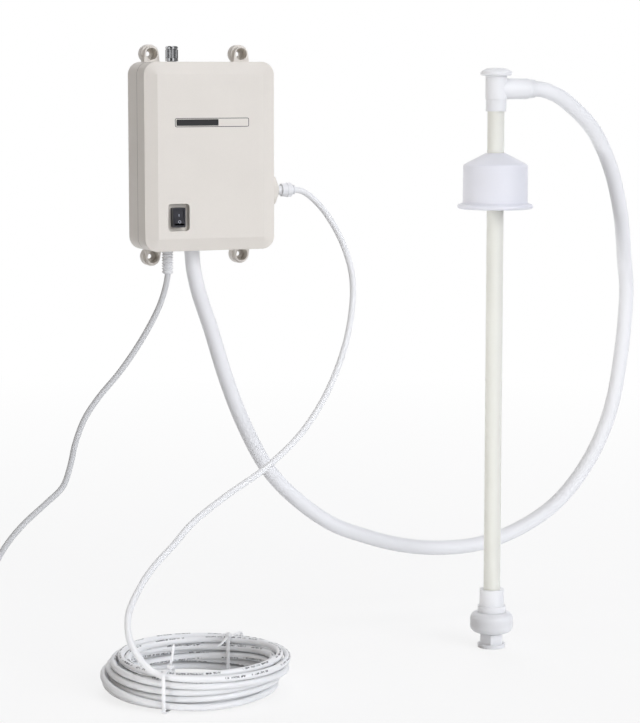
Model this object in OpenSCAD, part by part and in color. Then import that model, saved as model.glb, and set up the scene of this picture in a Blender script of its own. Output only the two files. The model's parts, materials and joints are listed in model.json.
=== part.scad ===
// Wall-mounted bottled water pump: a pump case, a suction wand on its hose, a delivery tube and a power cord.
// Millimetres. The origin is the middle of the four wall holes, on the wall plane. The wall is Y = 0, the
// front faces -Y, +X is to the right and +Z is up. A depth is a distance in front of the wall.

/* [Case] */
// Width of the case
case_w = 138; // [130:1:160]
// Height of the case
case_h = 188; // [184:1:210]
// Depth of the case from the wall to the crease of the front bevel
case_d = 51.5; // [51:0.5:60]
// How far the bevel runs in from the sides of the front
bevel_in = 12.5; // [8:0.5:13]
// How far the bevel rises to the flat of the front
bevel_d = 4.8; // [4:0.1:7]
// Corner radius of the flat of the front
face_r = 0.5; // [0.2:0.1:3]
// Wall thickness of both shells
wall = 2.5; // [2:0.1:3]
// How far the edges of the back are drawn in
back_in = 0.6; // [0.5:0.1:2]
// Depth over which the edges of the back are drawn in
back_d = 2; // [2:0.5:8]
// Depth of the rear shell, up to the parting line
split_d = 29.5; // [28:0.5:31]
// Visible gap at the parting line
seam = 0.4; // [0.2:0.1:0.8]
// Thickness of the lip that locates the two shells
lip_t = 1.2; // [1:0.1:1.5]
// Height of that lip
lip_h = 3; // [2:0.5:4]
// Diameter of the screw posts
post_d = 9; // [8:0.5:10]
// Distance of the screw posts from the sides of the case
post_in = 12.5; // [12:0.5:14]

/* [Wall ears] */
// Distance between the left and the right wall holes
ear_span = 96; // [90:1:100]
// Height of a wall hole beyond the end of the case
ear_rise = 8; // [7.5:0.5:12]
// Diameter of a wall hole
ear_hole_d = 5; // [4:0.5:6]
// Diameter of the screw-head well in an ear
ear_well_d = 12; // [10:0.5:12.5]
// Thickness left at the bottom of the well
ear_floor = 3; // [2:0.5:5]
// Radius of the rear lobe of an ear
ear_lobe_r = 9.2; // [8:0.1:11]
// Width of the neck below the lobe
ear_neck_w = 12; // [8:0.5:16]
// Radius of the front plate around the well
ear_plate_r = 7.3; // [7:0.1:8]
// Width of the front plate at its foot
ear_plate_w = 17; // [15:0.5:17]
// Depth at which the front plate starts
ear_plate_d = 9.5; // [8:0.5:11]
// Depth of a whole ear
ear_d = 15; // [13:0.5:16]

/* [Flow control] */
// Knob position across the case
knob_x = -30; // [-40:1:-25]
// Knob depth in front of the wall
knob_depth = 24; // [18:0.5:24]
// Knob diameter
knob_d = 13; // [12:0.5:15]
// Knob height
knob_h = 15; // [12:0.5:18]
// Gap under the knob
knob_gap = 0.6; // [0.4:0.1:1]
// Number of flutes round the knob
knob_flutes = 36; // [24:2:48]
// Depth of a flute
flute_depth = 0.35; // [0.2:0.05:0.5]
// Diameter of the control shaft
spindle_d = 6; // [5:0.5:6]
// Diameter of the threaded bush of the control
bush_d = 7.5; // [7.2:0.1:8]
// Diameter of the control body
pot_d = 16.5; // [14:0.5:18]
// Height of the control body
pot_h = 9; // [8:0.5:12]

/* [Switch] */
// Switch position across the front
switch_x = -35; // [-40:1:-32]
// Switch position up the front
switch_z = -60; // [-64:1:-52]
// Width of the recess round the switch
recess_w = 22.4; // [20:0.2:24]
// Height of the recess
recess_h = 27; // [25:0.5:30]
// Depth of the recess
recess_d = 6; // [4:0.5:7]
// Corner radius of the recess
recess_r = 3.3; // [2:0.1:4]
// Width of the switch bezel
bezel_w = 13; // [12.5:0.1:14]
// Height of the switch bezel
bezel_h = 19.6; // [19:0.1:21]
// How far the bezel stands out of the floor of the recess
bezel_t = 7.2; // [6.5:0.1:8]
// Width of the rocker
rocker_w = 9.6; // [9:0.1:9.8]
// Height of the rocker
rocker_h = 15; // [14:0.1:15.5]
// Tilt of the rocker to either side
rocker_tilt = 10; // [8:0.5:11]
// Diameter of the rocker pin
rocker_pin_d = 2.4; // [2:0.1:2.6]

/* [Power cord] */
// Cord position across the case
cord_x = -34; // [-36:1:-32]
// Cord depth in front of the wall
cord_depth = 18; // [16:0.5:19]
// Diameter of the cord
cord_d = 6; // [5.5:0.1:6.5]
// Outside diameter of the strain relief
relief_d = 11.7; // [11:0.1:13]
// Length of the strain relief below the case
relief_l = 25; // [20:0.5:30]
// Number of ribs on the strain relief
relief_ribs = 6; // [4:1:7]
// Mean radius of the stored coil of cord
cord_coil_r = 33; // [32:0.5:36]
// Width of the plug
plug_w = 24; // [20:0.5:28]
// Thickness of the plug
plug_t = 17; // [15:0.5:20]
// Length of the moulded body of the plug
plug_l = 28; // [24:0.5:34]
// Length of the blades of the plug
blade_l = 17; // [15:0.5:18]
// Spacing of the blades
blade_pitch = 12.7; // [12:0.1:13]

/* [Pump] */
// Pump axis position across the case
pump_x = 26; // [24:0.5:28]
// Diameter of the motor
motor_d = 35; // [32:0.5:36]
// Length of the motor can
motor_l = 56; // [48:1:58]
// Diameter of the motor shaft
shaft_d = 3.2; // [3:0.1:4]
// Diameter of the pump body
pump_d = 43; // [42:0.5:44]
// Height of the cam housing
base_h = 24; // [23:0.5:26]
// Thickness of the diaphragm
diaphragm_t = 2.5; // [2:0.1:3]
// Thickness of the valve plate
valve_plate_t = 6; // [5:0.5:7]
// Height of the pump head
head_h = 26; // [24:0.5:28]
// Throw of the drive cam
cam_throw = 1.5; // [1:0.1:2]
// Height of the rubber feet
foot_h = 6; // [5:0.5:7]
// Thickness of the mounting bracket
bracket_t = 1.5; // [1:0.1:2]
// Thickness of the motor saddle
saddle_t = 1.5; // [1:0.1:2]
// Height of the pressure switch barrel
barrel_h = 18; // [17:0.5:20]
// Travel of the pressure plunger
plunger_travel = 1.5; // [1:0.1:1.8]

/* [Board] */
// Board position across the case
board_x = -38; // [-40:0.5:-37]
// Board position up the case
board_z = 22; // [18:1:26]
// Width of the board
board_w = 48; // [44:1:50]
// Height of the board
board_h = 84; // [78:1:86]
// Thickness of the board
board_t = 1.6; // [1:0.2:2.4]
// Height of the board posts
stand_h = 6; // [4:0.5:8]

/* [Hoses] */
// Outlet height on the right side of the case
out_z = -35.5; // [-37:0.5:-34]
// How far the outlet boss stands out
boss_h = 7.4; // [6:0.1:9]
// Length of the outlet fitting beyond the boss
fitting_l = 16; // [15:0.5:18]
// Diameter of the outlet fitting
fitting_d = 14.7; // [14:0.1:16]
// Diameter of the delivery tube
tube_d = 6.35; // [6:0.05:6.5]
// Travel of the release collet
collet_travel = 1.2; // [0.8:0.1:1.3]
// Outer radius of the coil of delivery tube
tube_coil_r = 89; // [86:0.5:95]
// Suction hose position across the case
hose_x = -8; // [-9:0.5:-6]
// Suction hose depth in front of the wall
hose_depth = 19; // [18:0.5:19]
// Outside diameter of the suction hose
hose_od = 15.5; // [14:0.1:16]
// Bore of the suction hose
hose_id = 11; // [10.4:0.1:12]

/* [Wand] */
// Wand position to the right of the case
wand_x = 262; // [250:1:280]
// Wand depth in front of the wall
wand_depth = 165; // [150:1:180]
// Height of the floor that the wand stands on
floor_z = -500; // [-520:1:-490]
// Outside diameter of the pipe
pipe_d = 17; // [16:0.1:18]
// Bore of the pipe
pipe_bore = 13; // [11:0.1:14]
// Height of the lower end of the tee above the floor
tee_z = 545; // [520:1:560]
// Diameter of the tee barrel
tee_d = 21.5; // [21:0.1:24]
// Length of the tee barrel
tee_l = 35.2; // [34:0.2:38]
// Diameter of the side branch of the tee
branch_d = 20.8; // [20:0.1:22]
// Reach of the side branch from the axis
branch_l = 42; // [38:0.5:46]
// Diameter of the mushroom plug
mushroom_d = 32; // [28:0.5:36]
// Height of the mushroom plug
mushroom_h = 7.8; // [6:0.1:9]
// Height of the rim of the bottle cap above the floor
cap_z = 448; // [300:1:470]
// Diameter of the bottle cap
cap_d = 64.6; // [63:0.2:68]
// Diameter of the rim of the bottle cap
rim_d = 76; // [72:0.5:80]
// Height of the rim
rim_h = 6; // [5:0.5:7]
// Height of the straight wall of the cap, with its rim
cap_wall_h = 44; // [40:0.5:48]
// Height of the cone of the cap
cap_cone_h = 11.7; // [10:0.1:14]
// Wall thickness of the cap
cap_t = 2.6; // [2:0.1:2.8]
// Diameter of the bottle neck that the cap takes
neck_d = 56; // [54:0.1:57]
// Diameter of the float housing
float_d = 44; // [42:0.5:48]
// Height of the float housing
float_h = 21; // [20:0.5:24]
// Travel of the float
float_travel = 4; // [2:0.5:4.5]
// Width across the flats of the hexagon on the foot
hex_af = 22; // [21:0.5:24]
// Diameter of the flange under the foot
flange_d = 28; // [26:0.5:30]
// Diameter of the collar above the float housing
collar_d = 25; // [24:0.5:27]

/* [Hidden] */

$fn = 48;
// Room between pieces that are fitted together, on the radius
fit = 0.1;
// Room between a turning or sliding piece and its bearing, on the radius
run = 0.05;
// Depth that a boss or rib is sunk into the wall that carries it
root = 0.5;
// Overshoot of a cut through a face
cut = 1;

// Case
front_d = case_d + bevel_d;
corner_r = bevel_in + face_r;
inner_w = case_w - 2 * wall;
inner_h = case_h - 2 * wall;
inner_front_d = front_d - wall;
inner_crease_d = case_d - wall * (norm([bevel_in, bevel_d]) - bevel_d) / bevel_in;
inner_bevel_d = inner_front_d - inner_crease_d;
inner_bevel_in = inner_bevel_d * bevel_in / bevel_d;
post_w = case_w - 2 * post_in;
post_h = case_h - 2 * post_in;
case_screw_d = 3;
case_head_d = 5.6;
case_head_h = 2.4;
case_seat_in = 8;
case_screw_reach = 12;
case_seat_d = split_d - case_seat_in;
case_screw_end_d = split_d + case_screw_reach;
ear_z = case_h / 2 + ear_rise;
ear_root = back_in + 0.3;

// Flow control
top_z = case_h / 2;
bush_z = top_z + 3;
knob_z = top_z + knob_gap;
pot_nut_af = 9;
pot_nut_h = 2;
knob_hollow_d = 11;
knob_hollow_h = pot_nut_h + 1.2;
spindle_top_z = knob_z + knob_h - 4;

// Switch
recess_floor_d = front_d - recess_d;
recess_floor_t = 2;
bezel_front_d = recess_floor_d + bezel_t;
switch_case_w = bezel_w - 1;
switch_case_h = bezel_h - 1.2;
switch_back_d = recess_floor_d - 13;
pocket_back_d = recess_floor_d - 6;
pivot_d = bezel_front_d - 4.6;
rocker_side = 0.3;
rocker_crown = 3.6;
rocker_back = 2;

// Power cord
relief_rib_pitch = 3;
relief_neck_d = relief_d - 2.2;
bottom_z = -case_h / 2;
relief_flange_h = 2;

// Pump stack, downwards from the motor, with the ports at the outlet height
pump_depth = wall + foot_h + bracket_t + saddle_t + motor_d / 2;
bracket_d0 = wall + foot_h;
bracket_d1 = bracket_d0 + bracket_t;
head_z0 = out_z - 10;
head_z1 = head_z0 + head_h;
plate_z1 = head_z1 + valve_plate_t;
diaphragm_z1 = plate_z1 + diaphragm_t;
base_z1 = diaphragm_z1 + base_h;
motor_z1 = base_z1 + motor_l;
end_cap_h = 5;
base_roof = 4;
cavity_d = 31;
cam_d = 24;
cam_z1 = base_z1 - base_roof - 1;
cam_z0 = cam_z1 - 8;
cam_pin_d = 6;
bearing_d = 13;
bearing_z1 = cam_z0 - 1;
bearing_z0 = bearing_z1 - 5;
wobble_z1 = cam_z0 - 0.5;
wobble_z0 = wobble_z1 - 6.5;
wobble_bore_r = bearing_d / 2 + cam_throw + 0.3;
chamber_r = 11;
chamber_d = 11;
pump_screw_r = 18.2;
pump_screw_d = 2.6;
pump_head_screw_d = 5;
valve_d = 8;
valve_stem_d = 2;
pump_bolts = [0, 90, 180, 270];

// Pressure switch below the pump head
barrel_d = 24;
barrel_z0 = head_z0 - barrel_h;
spring_bore = 13;
barrel_floor = 4;
plunger_d = 4;
plunger_flange_d = 12;
plunger_z1 = head_z0 - plunger_travel - 1.5;
plunger_flange_t = 2;
plunger_z0 = barrel_z0 - 1;
button_gap = plunger_travel + 0.2;
button_d = 3;
micro_z1 = plunger_z0 - button_gap - 1;
micro_size = [20, 10, 9];
leg_t = 3;
spring_wire = 1;
spring_r = 4.6;
spring_turns = 5;
spring_z0 = barrel_z0 + barrel_floor + 0.6 * spring_wire;
spring_z1 = plunger_z1 - plunger_flange_t - 0.6 * spring_wire;

// Mounting of the pump and the board
bracket_w = 56;
bracket_z0 = head_z0 + 4;
bracket_z1 = motor_z1 - 4;
mount_w = bracket_w - 12;
mount_h = bracket_z1 - bracket_z0 - 12;
pin_d = 5;
rubber_d = 11;
small_screw_d = 2.4;
small_head_d = 5;
small_head_h = 2;
small_screw_l = 6;
saddle_h = 10;
board_d0 = wall + stand_h;
board_hole_in = 4;
post_small_d = 6;

// Outlet, on the middle of the side wall of the front cover
out_depth = (split_d + case_d) / 2;
side_x = case_w / 2;
inner_x = side_x - wall;
boss_base = 20;
boss_tall = 29;
boss_top_d = 13;
shank_d = 9;
fitting_x1 = side_x + boss_h;
fitting_x2 = fitting_x1 + 4.6;
fitting_x3 = fitting_x1 + fitting_l;
nut_t = 5;
nut_af = 15;
shank_x0 = inner_x - nut_t - 3.5;
stem_d = 6;
stem_bore = 4;
link_d = 10;
link_x0 = pump_x + pump_d / 2 + 0.3;
link_mid = (link_x0 + shank_x0) / 2;
stop_x = fitting_x3 - 9;
socket_x = fitting_x3 - 7.5;
collet_d = 8.6;
collet_flange_d = 9.6;
collet_flange_t = 1.4;
collet_x0 = socket_x + collet_travel + 0.2;
collet_flange_x = fitting_x3 + collet_travel + 0.2;
tube_room = 0.2;

// Inlet
in_z = out_z;
elbow_d = 15;
elbow_bore = 7;
inlet_stub_d = 10.6;
inlet_stub_x = hose_x + elbow_d / 2 - 1;
elbow_end_x = pump_x - pump_d / 2 - 0.5;
elbow_foot_z = in_z - 9;
barb_d = hose_id - 0.8;
barb_l = 20;
clamp_z = elbow_foot_z - 10;
clamp_w = 7;
clamp_t = 1.2;
grommet_d = hose_od + 2;
grommet_flange_d = hose_od + 5;
grommet_flange_t = 1.5;

// Wand, in heights above the floor
flange_t = 3.7;
hex_h = 10.3;
foot_neck_h = 1.5;
housing_z0 = flange_t + hex_h + foot_neck_h;
housing_mid = housing_z0 + float_h / 2;
housing_z1 = housing_z0 + float_h;
housing_round = 7;
housing_wall = 3;
ring_h = 6.5;
ring_d = collar_d + 3.5;
collar_h = 17;
collar_z1 = housing_z1 + ring_h + collar_h;
pipe_z0 = housing_z1 + ring_h + 1;
socket_l = 12;
pipe_z1 = tee_z + socket_l;
branch_z = tee_z + 22.2;
tee_top = tee_z + tee_l;
plug_shank_d = 14;
plug_shank_l = 10;
hose_grip = 20;
cone_top_d = pipe_d + 2.4;
grommet_t = 3;
grommet_h = 5;
neck_ribs = 8;
float_puck_d = float_d - 2 * housing_wall - 4;
float_puck_h = float_h - 2 * housing_wall - float_travel - 0.6;
foot_thread_d = 17;
foot_bore = 12;
strainer_t = 1.4;
strainer_z = 1;

// Routes of the cords, by hand
power_route = [
    [-34, -18, -84], [-34, -18, -105], [-34, -18, -121], [-39, -19, -140], [-48, -20, -160], [-65, -20, -188],
    [-86, -20, -216], [-108, -20, -240], [-124, -20, -262], [-134, -20, -286], [-140, -20, -310],
    [-148, -20, -330], [-166, -20, -346], [-188, -20, -364], [-205, -20, -382], [-218, -20, -402],
    [-229, -21, -426], [-241, -24, -443], [-254, -27, -456]
];
outlet_route = [
    [85, -40.5, -35.5], [95.5, -40.5, -35.5], [105, -41, -37.5], [116, -44.5, -46], [128, -53, -63],
    [139, -65, -90], [144, -77, -121], [139, -89, -154],
    [125, -101, -194], [100, -114, -237], [67, -126, -274],
    [25, -137, -304], [-20, -149, -326], [-60, -163, -347], [-86, -178, -365], [-104, -187, -377],
    [-120, -197, -389], [-133, -208, -401], [-144, -219, -413], [-150, -229, -424], [-152, -239, -436]
];
hose_route = [
    [-8, -19, -44.5], [-8, -19, -70], [-8, -19, -97], [-6, -19, -117], [0, -19, -142], [12, -20, -178],
    [28, -20, -229], [48, -20, -279], [74, -20, -326], [106, -20, -360], [144, -20, -388], [181, -20, -404],
    [226, -20, -418], [273, -20, -425], [321, -20, -424],
    [368, -21, -411], [412, -26, -384], [446, -34, -340],
    [466, -45, -285], [472, -57, -220], [470, -70, -155],
    [458, -85, -114], [441, -105, -64], [416, -126, -15],
    [384, -144, 26], [345, -159, 54], [323, -164, 64], [306, -165, 67.2], [285, -165, 67.2]
];
tube_sides = 10;
loop_rings = 24;
loop_sides = 6;

// Stored coil of the power cord, wound in on the upper layer and out on the lower one
cord_coil_x = -280;
cord_coil_depth = 75;
cord_pitch = cord_d + 0.7;
cord_layer = cord_d + 0.6;
cord_turns = 3.125;
cord_coil_start = 90;
cord_coil_out = cord_coil_r + cord_pitch * cord_turns / 2;

// Tied coil of the delivery tube, in layers from the top down
tube_coil_x = -77;
tube_coil_depth = 212;
tube_pitch = tube_d + 1.55;
tube_layer = tube_d + 0.95;
tube_layers = 5;
tube_turns = 2.3;
tube_skip = 0.2;
tube_coil_start = 206;
tube_coil_out = tube_coil_r - tube_d / 2;
// Loose winding: the loops wander a little, and between the ties the bundle leans back and forth
tube_wave = 0.5;
tube_lean = 28;
tube_lift = 3.2;
tube_coil_in = tube_coil_out - tube_pitch * tube_turns;
tie_t = 1;
tie_room = 0.3;
tie_w = 3.6;
tie_angles = [231, 40];
// Lock heads, how far they sit from the inner edge, and the way their tails point
tie_head_in = [8, 0];
tie_tails = [120, 200];

// One layer after another: the radius goes in and out, the height drops in the half turn at each reversal
function coil_radius(turn, turns, pitch, outer) =
    let (layer = floor(turn / turns), along = turn - layer * turns)
    outer - pitch * (layer % 2 == 0 ? along : turns - along);
function coil_drop(turn, turns, layers) =
    layers < 2 ? 0
    : let (steps = [for (k = [1:layers - 1]) min(max((turn - k * turns) * 2 + 0.5, 0), 1)])
      [for (s = steps) s * s * (3 - 2 * s)] * [for (s = steps) 1];
function coil_ease(turn, span) = pow(max(1 - turn / span, 0), 2);
// 0 at both ties, 1 half way round the back, -1 half way round the front
function coil_way(angle) =
    let (from = (angle - tie_angles[1] + 720) % 360, back = tie_angles[0] - tie_angles[1])
    from < back ? sin(180 * from / back) : -sin(180 * (from - back) / (360 - back));
function coil_path(
    centre, start, skip, turns, layers, pitch, rise, outer, ease, span, lead_in, lead,
    wave = 0, lean = 0, lift = 0
) =
    let (
        total = turns * layers - skip,
        count = ceil(total * loop_rings),
        mid_r = outer - pitch * turns / 2,
        mid_z = -rise * (layers - 1) / 2,
        points = [
            for (i = concat([0, 0.5, 1, 1.5], [for (k = [2:count]) k]))
                let (
                    turn = min(total * i / count, total - 0.0001),
                    angle = start + 360 * turn,
                    way = coil_way(angle),
                    out = coil_radius(turn + skip, turns, pitch, outer) + wave * sin(223 * turn + 40) - mid_r,
                    up = -rise * coil_drop(turn + skip, turns, layers) - mid_z,
                    radius = mid_r + out * cos(lean * way) - up * sin(lean * way),
                    height = mid_z + out * sin(lean * way) + up * cos(lean * way) + lift * way * way
                        + ease * coil_ease(turn, span)
                )
                centre + [radius * cos(angle), radius * sin(angle), height]
        ],
        end = len(points) - 1,
        first = unit(points[0] - points[1]),
        last = unit(points[end] - points[end - 1])
    )
    concat(lead_in > 0 ? [points[0] + first * lead_in] : [], points, [points[end] + last * lead]);
function unit(v) = v / norm(v);
function least_gap(path, d, apart) =
    min([
        for (i = [0:len(path) - 1 - apart])
            for (j = [i + apart:len(path) - 1]) norm(path[i] - path[j])
    ]) - d;

// Smooth line through a list of points
function between(a, b, c, d, t) =
    0.5 * (2 * b + (c - a) * t + (2 * a - 5 * b + 4 * c - d) * t * t + (3 * b - a - 3 * c + d) * t * t * t);
function smooth_route(points, steps) =
    let (last = len(points) - 1)
    concat(
        [
            for (i = [0:last - 1]) for (j = [0:steps - 1])
                between(points[max(i - 1, 0)], points[i], points[i + 1], points[min(i + 2, last)], j / steps)
        ],
        [points[last]]
    );

// Straight last stretch of a cord before its coil
function run_in(path, length) = [path[0] + unit(path[0] - path[1]) * length, path[0]];

cord_coil_path = coil_path(
    [cord_coil_x, -cord_coil_depth, floor_z + cord_d / 2 + cord_layer + tie_t + fit],
    cord_coil_start, 0, cord_turns, 2, cord_pitch, cord_layer, cord_coil_out, 9, 0.085, 2 * cord_d, 2 * cord_d
);
tube_coil_path = coil_path(
    [tube_coil_x, -tube_coil_depth, floor_z + tube_d / 2 + (tube_layers - 1) * tube_layer + tie_t + tie_room],
    tube_coil_start, tube_skip, tube_turns, tube_layers, tube_pitch, tube_layer, tube_coil_out, 19, 0.072, 0,
    tube_d, tube_wave, tube_lean, tube_lift
);
spring_path = [
    for (i = [0:spring_turns * 8])
        [
            spring_r * cos(i * 45), spring_r * sin(i * 45),
            spring_z0 + (spring_z1 - spring_z0) * i / (spring_turns * 8)
        ]
];
echo(cord_coil_gap = least_gap(cord_coil_path, cord_d, loop_rings / 2));
echo(tube_coil_gap = least_gap(tube_coil_path, tube_d, loop_rings / 2));
echo(spring_gap = least_gap(spring_path, spring_wire, 6));
echo(tube_coil_entry = tube_coil_path[0], cord_coil_entry = cord_coil_path[0]);

// Basic shapes

// Outline drawn in X and Z, from one depth to another
module layer(d0, d1) {
    translate([0, -d0, 0]) rotate([90, 0, 0]) linear_extrude(d1 - d0) children();
}

module rod_x(x0, x1, d) {
    translate([x0, 0, 0]) rotate([0, 90, 0]) cylinder(d = d, h = x1 - x0);
}

module rod_y(d0, d1, d) {
    translate([0, -d0, 0]) rotate([90, 0, 0]) cylinder(d = d, h = d1 - d0);
}

module rod_z(z0, z1, d) {
    translate([0, 0, z0]) cylinder(d = d, h = z1 - z0);
}

module hex_x(x0, x1, across) {
    translate([x0, 0, 0]) rotate([0, 90, 0]) cylinder(d = across / cos(30), h = x1 - x0, $fn = 6);
}

module hex_z(z0, z1, across) {
    translate([0, 0, z0]) cylinder(d = across / cos(30), h = z1 - z0, $fn = 6);
}

// Solid of revolution about X, drawn as [x, radius] points
module turned_x(points) {
    rotate([0, 90, 0]) rotate([0, 0, 90]) rotate_extrude() polygon([for (p = points) [p.y, p.x]]);
}

// Solid of revolution about Z, drawn as [radius, z] points
module turned(points) {
    rotate_extrude() polygon(points);
}

function arc(centre, r, a0, a1, n = 6) =
    [for (i = [0:n]) let (a = a0 + (a1 - a0) * i / n) centre + r * [cos(a), sin(a)]];

module rounded_rect(w, h, r) {
    square([w - 2 * r, h], center = true);
    square([w, h - 2 * r], center = true);
    for (sx = [-1, 1], sy = [-1, 1]) translate([sx * (w / 2 - r), sy * (h / 2 - r)]) circle(r);
}

module corners(w, h) {
    for (sx = [-1, 1], sz = [-1, 1]) translate([sx * w / 2, 0, sz * h / 2]) children();
}

// Block with rounded corners and a bevelled front
module bevel_block(w, h, r, d0, d1, b_in, b_d) {
    layer(d0, d1) rounded_rect(w, h, r);
    rotate([90, 0, 90]) linear_extrude(w - 2 * r, center = true)
        polygon([[-d1, -h / 2], [-d1, h / 2], [-d1 - b_d, h / 2 - b_in], [-d1 - b_d, b_in - h / 2]]);
    linear_extrude(h - 2 * r, center = true)
        polygon([[-w / 2, -d1], [w / 2, -d1], [w / 2 - b_in, -d1 - b_d], [b_in - w / 2, -d1 - b_d]]);
    corners(w - 2 * r, h - 2 * r) translate([0, -d1, 0]) rotate([90, 0, 0])
        cylinder(h = b_d, r1 = r, r2 = r - b_in);
}

// Tube swept along a path, with the cross-sections kept square to the path
module swept(path, d, sides, side_axis, bore = 0) {
    n = len(path);
    heading = [for (i = [0:n - 1]) unit(path[min(i + 1, n - 1)] - path[max(i - 1, 0)])];
    function section(i, radius) =
        let (u = unit(cross(side_axis, heading[i])), v = cross(heading[i], u))
        [for (k = [0:sides - 1]) path[i] + radius * (cos(360 * k / sides) * u + sin(360 * k / sides) * v)];
    outer = [for (i = [0:n - 1]) each section(i, d / 2)];
    inner = bore > 0 ? [for (i = [0:n - 1]) each section(i, bore / 2)] : [];
    m = n * sides;
    function next(k) = (k + 1) % sides;
    skin = [
        for (i = [0:n - 2]) for (k = [0:sides - 1])
            let (a = i * sides + k, b = i * sides + next(k))
            each [[a, a + sides, b], [b, a + sides, b + sides]]
    ];
    hole = bore > 0 ? [for (f = skin) [f[0] + m, f[2] + m, f[1] + m]] : [];
    last = (n - 1) * sides;
    ends = bore > 0
        ? [
            for (k = [0:sides - 1])
                each [
                    [k, next(k), m + k], [next(k), m + next(k), m + k],
                    [last + next(k), last + k, last + m + k],
                    [last + next(k), last + m + k, last + m + next(k)]
                ]
        ]
        : [
            for (k = [1:sides - 2])
                each [[0, k, k + 1], [last, last + k + 1, last + k]]
        ];
    polyhedron(points = concat(outer, inner), faces = concat(skin, hole, ends));
}

module at_pump() {
    translate([pump_x, -pump_depth, 0]) children();
}

module at_wand() {
    translate([wand_x, -wand_depth, floor_z]) children();
}

module at_outlet() {
    translate([0, -out_depth, out_z]) children();
}

module at_switch() {
    translate([switch_x, 0, switch_z]) children();
}

module at_knob() {
    translate([knob_x, -knob_depth, 0]) children();
}

module at_hose() {
    translate([hose_x, -hose_depth, 0]) children();
}

module at_cord() {
    translate([cord_x, -cord_depth, 0]) children();
}

module at_pump_mounts() {
    translate([pump_x, 0, (bracket_z0 + bracket_z1) / 2]) corners(mount_w, mount_h) children();
}

module at_board_holes() {
    translate([board_x, 0, board_z])
        corners(board_w - 2 * board_hole_in, board_h - 2 * board_hole_in) children();
}

module at_pump_bolts() {
    at_pump() for (a = pump_bolts) rotate(a) translate([pump_screw_r, 0, 0]) children();
}

module at_chambers() {
    at_pump() for (a = [90, 210, 330]) rotate(a) translate([chamber_r, 0, 0]) children();
}

// Case

module ear_plate_outline() {
    half = ear_plate_w / 2;
    foot = ear_rise + ear_root;
    touch = acos(ear_plate_r / norm([half, foot])) - atan2(foot, half);
    tip = ear_plate_r * [cos(touch), sin(touch)];
    polygon([[-half, -foot], [half, -foot], tip, [-tip.x, tip.y]]);
    circle(ear_plate_r);
}

module ear_lobe_outline() {
    circle(ear_lobe_r);
    translate([-ear_neck_w / 2, -ear_rise - ear_root]) square([ear_neck_w, ear_rise + ear_root]);
}

module ears() {
    for (sx = [-1, 1], up = [0, 1]) mirror([0, 0, up]) translate([sx * ear_span / 2, 0, ear_z]) difference() {
        union() {
            layer(0, ear_plate_d) ear_lobe_outline();
            layer(ear_plate_d, ear_d) ear_plate_outline();
        }
        rod_y(-cut, ear_d + cut, ear_hole_d);
        rod_y(ear_floor, ear_d + cut, ear_well_d);
    }
}

module rear_shell() color("#dfdad3") {
    difference() {
        union() {
            difference() {
                translate([0, -split_d, 0]) mirror([0, 1, 0])
                    bevel_block(case_w, case_h, corner_r, 0, split_d - back_d, back_in, back_d);
                layer(wall, split_d + cut) rounded_rect(inner_w, inner_h, corner_r);
            }
            // Lip that the front cover slides over
            difference() {
                layer(split_d - lip_h, split_d + lip_h)
                    rounded_rect(inner_w, inner_h, corner_r);
                layer(split_d - lip_h - cut, split_d + lip_h + cut)
                    rounded_rect(inner_w - 2 * lip_t, inner_h - 2 * lip_t, corner_r - lip_t);
            }
            corners(post_w, post_h) rod_y(wall - root, split_d, post_d);
            at_board_holes() rod_y(wall - root, board_d0, post_small_d);
            at_pump_mounts() rod_y(wall - root, bracket_d0, pin_d);
        }
        corners(post_w, post_h) {
            rod_y(-cut, case_seat_d, case_head_d + 4 * fit);
            rod_y(0, split_d + cut, case_screw_d + 4 * fit);
        }
        at_board_holes() rod_y(wall, board_d0 + cut, small_screw_d + 2 * fit);
        at_pump_mounts() rod_y(wall, bracket_d0 + cut, small_screw_d + 2 * fit);
        at_knob() rod_z(top_z - wall - cut, top_z + cut, bush_d + 2 * fit);
        at_cord() rod_z(bottom_z - cut, bottom_z + wall + cut, relief_neck_d + 2 * fit);
        at_hose() rod_z(bottom_z - cut, bottom_z + wall + cut, grommet_d + 2 * fit);
        // Room beside the lip for the outlet nut, the control and the hose grommet
        at_outlet() rod_x(inner_x - lip_t - nut_t, inner_x, nut_af / cos(30) + 2);
        at_knob() rod_z(top_z - wall - lip_t - cut, top_z - wall, pot_d + 1);
        at_hose() rod_z(bottom_z + wall, bottom_z + wall + lip_t + cut, grommet_flange_d + 1);
    }
    ears();
}

module outlet_boss() {
    at_outlet() hull($fn = 32) {
        for (sz = [-1, 1]) translate([0, 0, sz * (boss_tall - boss_base) / 2])
            rod_x(side_x - root, side_x + boss_h / 2, boss_base);
        rod_x(side_x, side_x + boss_h, boss_top_d);
    }
}

module front_cover() color("#e2ddd6") difference() {
    union() {
        difference() {
            bevel_block(case_w, case_h, corner_r, split_d + seam, case_d, bevel_in, bevel_d);
            bevel_block(
                inner_w + 2 * fit, inner_h + 2 * fit, corner_r,
                split_d, inner_crease_d, inner_bevel_in, inner_bevel_d
            );
        }
        corners(post_w, post_h) rod_y(split_d, inner_front_d, post_d);
        // Tub of the switch recess
        at_switch() layer(recess_floor_d - recess_floor_t, front_d - root)
            rounded_rect(recess_w + 2 * wall, recess_h + 2 * wall, recess_r + wall);
        outlet_boss();
    }
    at_switch() layer(recess_floor_d, front_d + cut) rounded_rect(recess_w, recess_h, recess_r);
    at_switch() layer(recess_floor_d - recess_floor_t - cut, front_d)
        square([switch_case_w + 2 * fit, switch_case_h + 2 * fit], center = true);
    corners(post_w, post_h) rod_y(split_d - cut, case_screw_end_d + cut, case_screw_d + 2 * fit);
    at_outlet() rod_x(inner_x - cut, side_x + boss_h + cut, shank_d + 2 * fit);
}

module case_screws() color("silver") corners(post_w, post_h) {
    rod_y(case_seat_d - case_head_h, case_seat_d, case_head_d);
    rod_y(case_seat_d, case_screw_end_d, case_screw_d);
}

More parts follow.
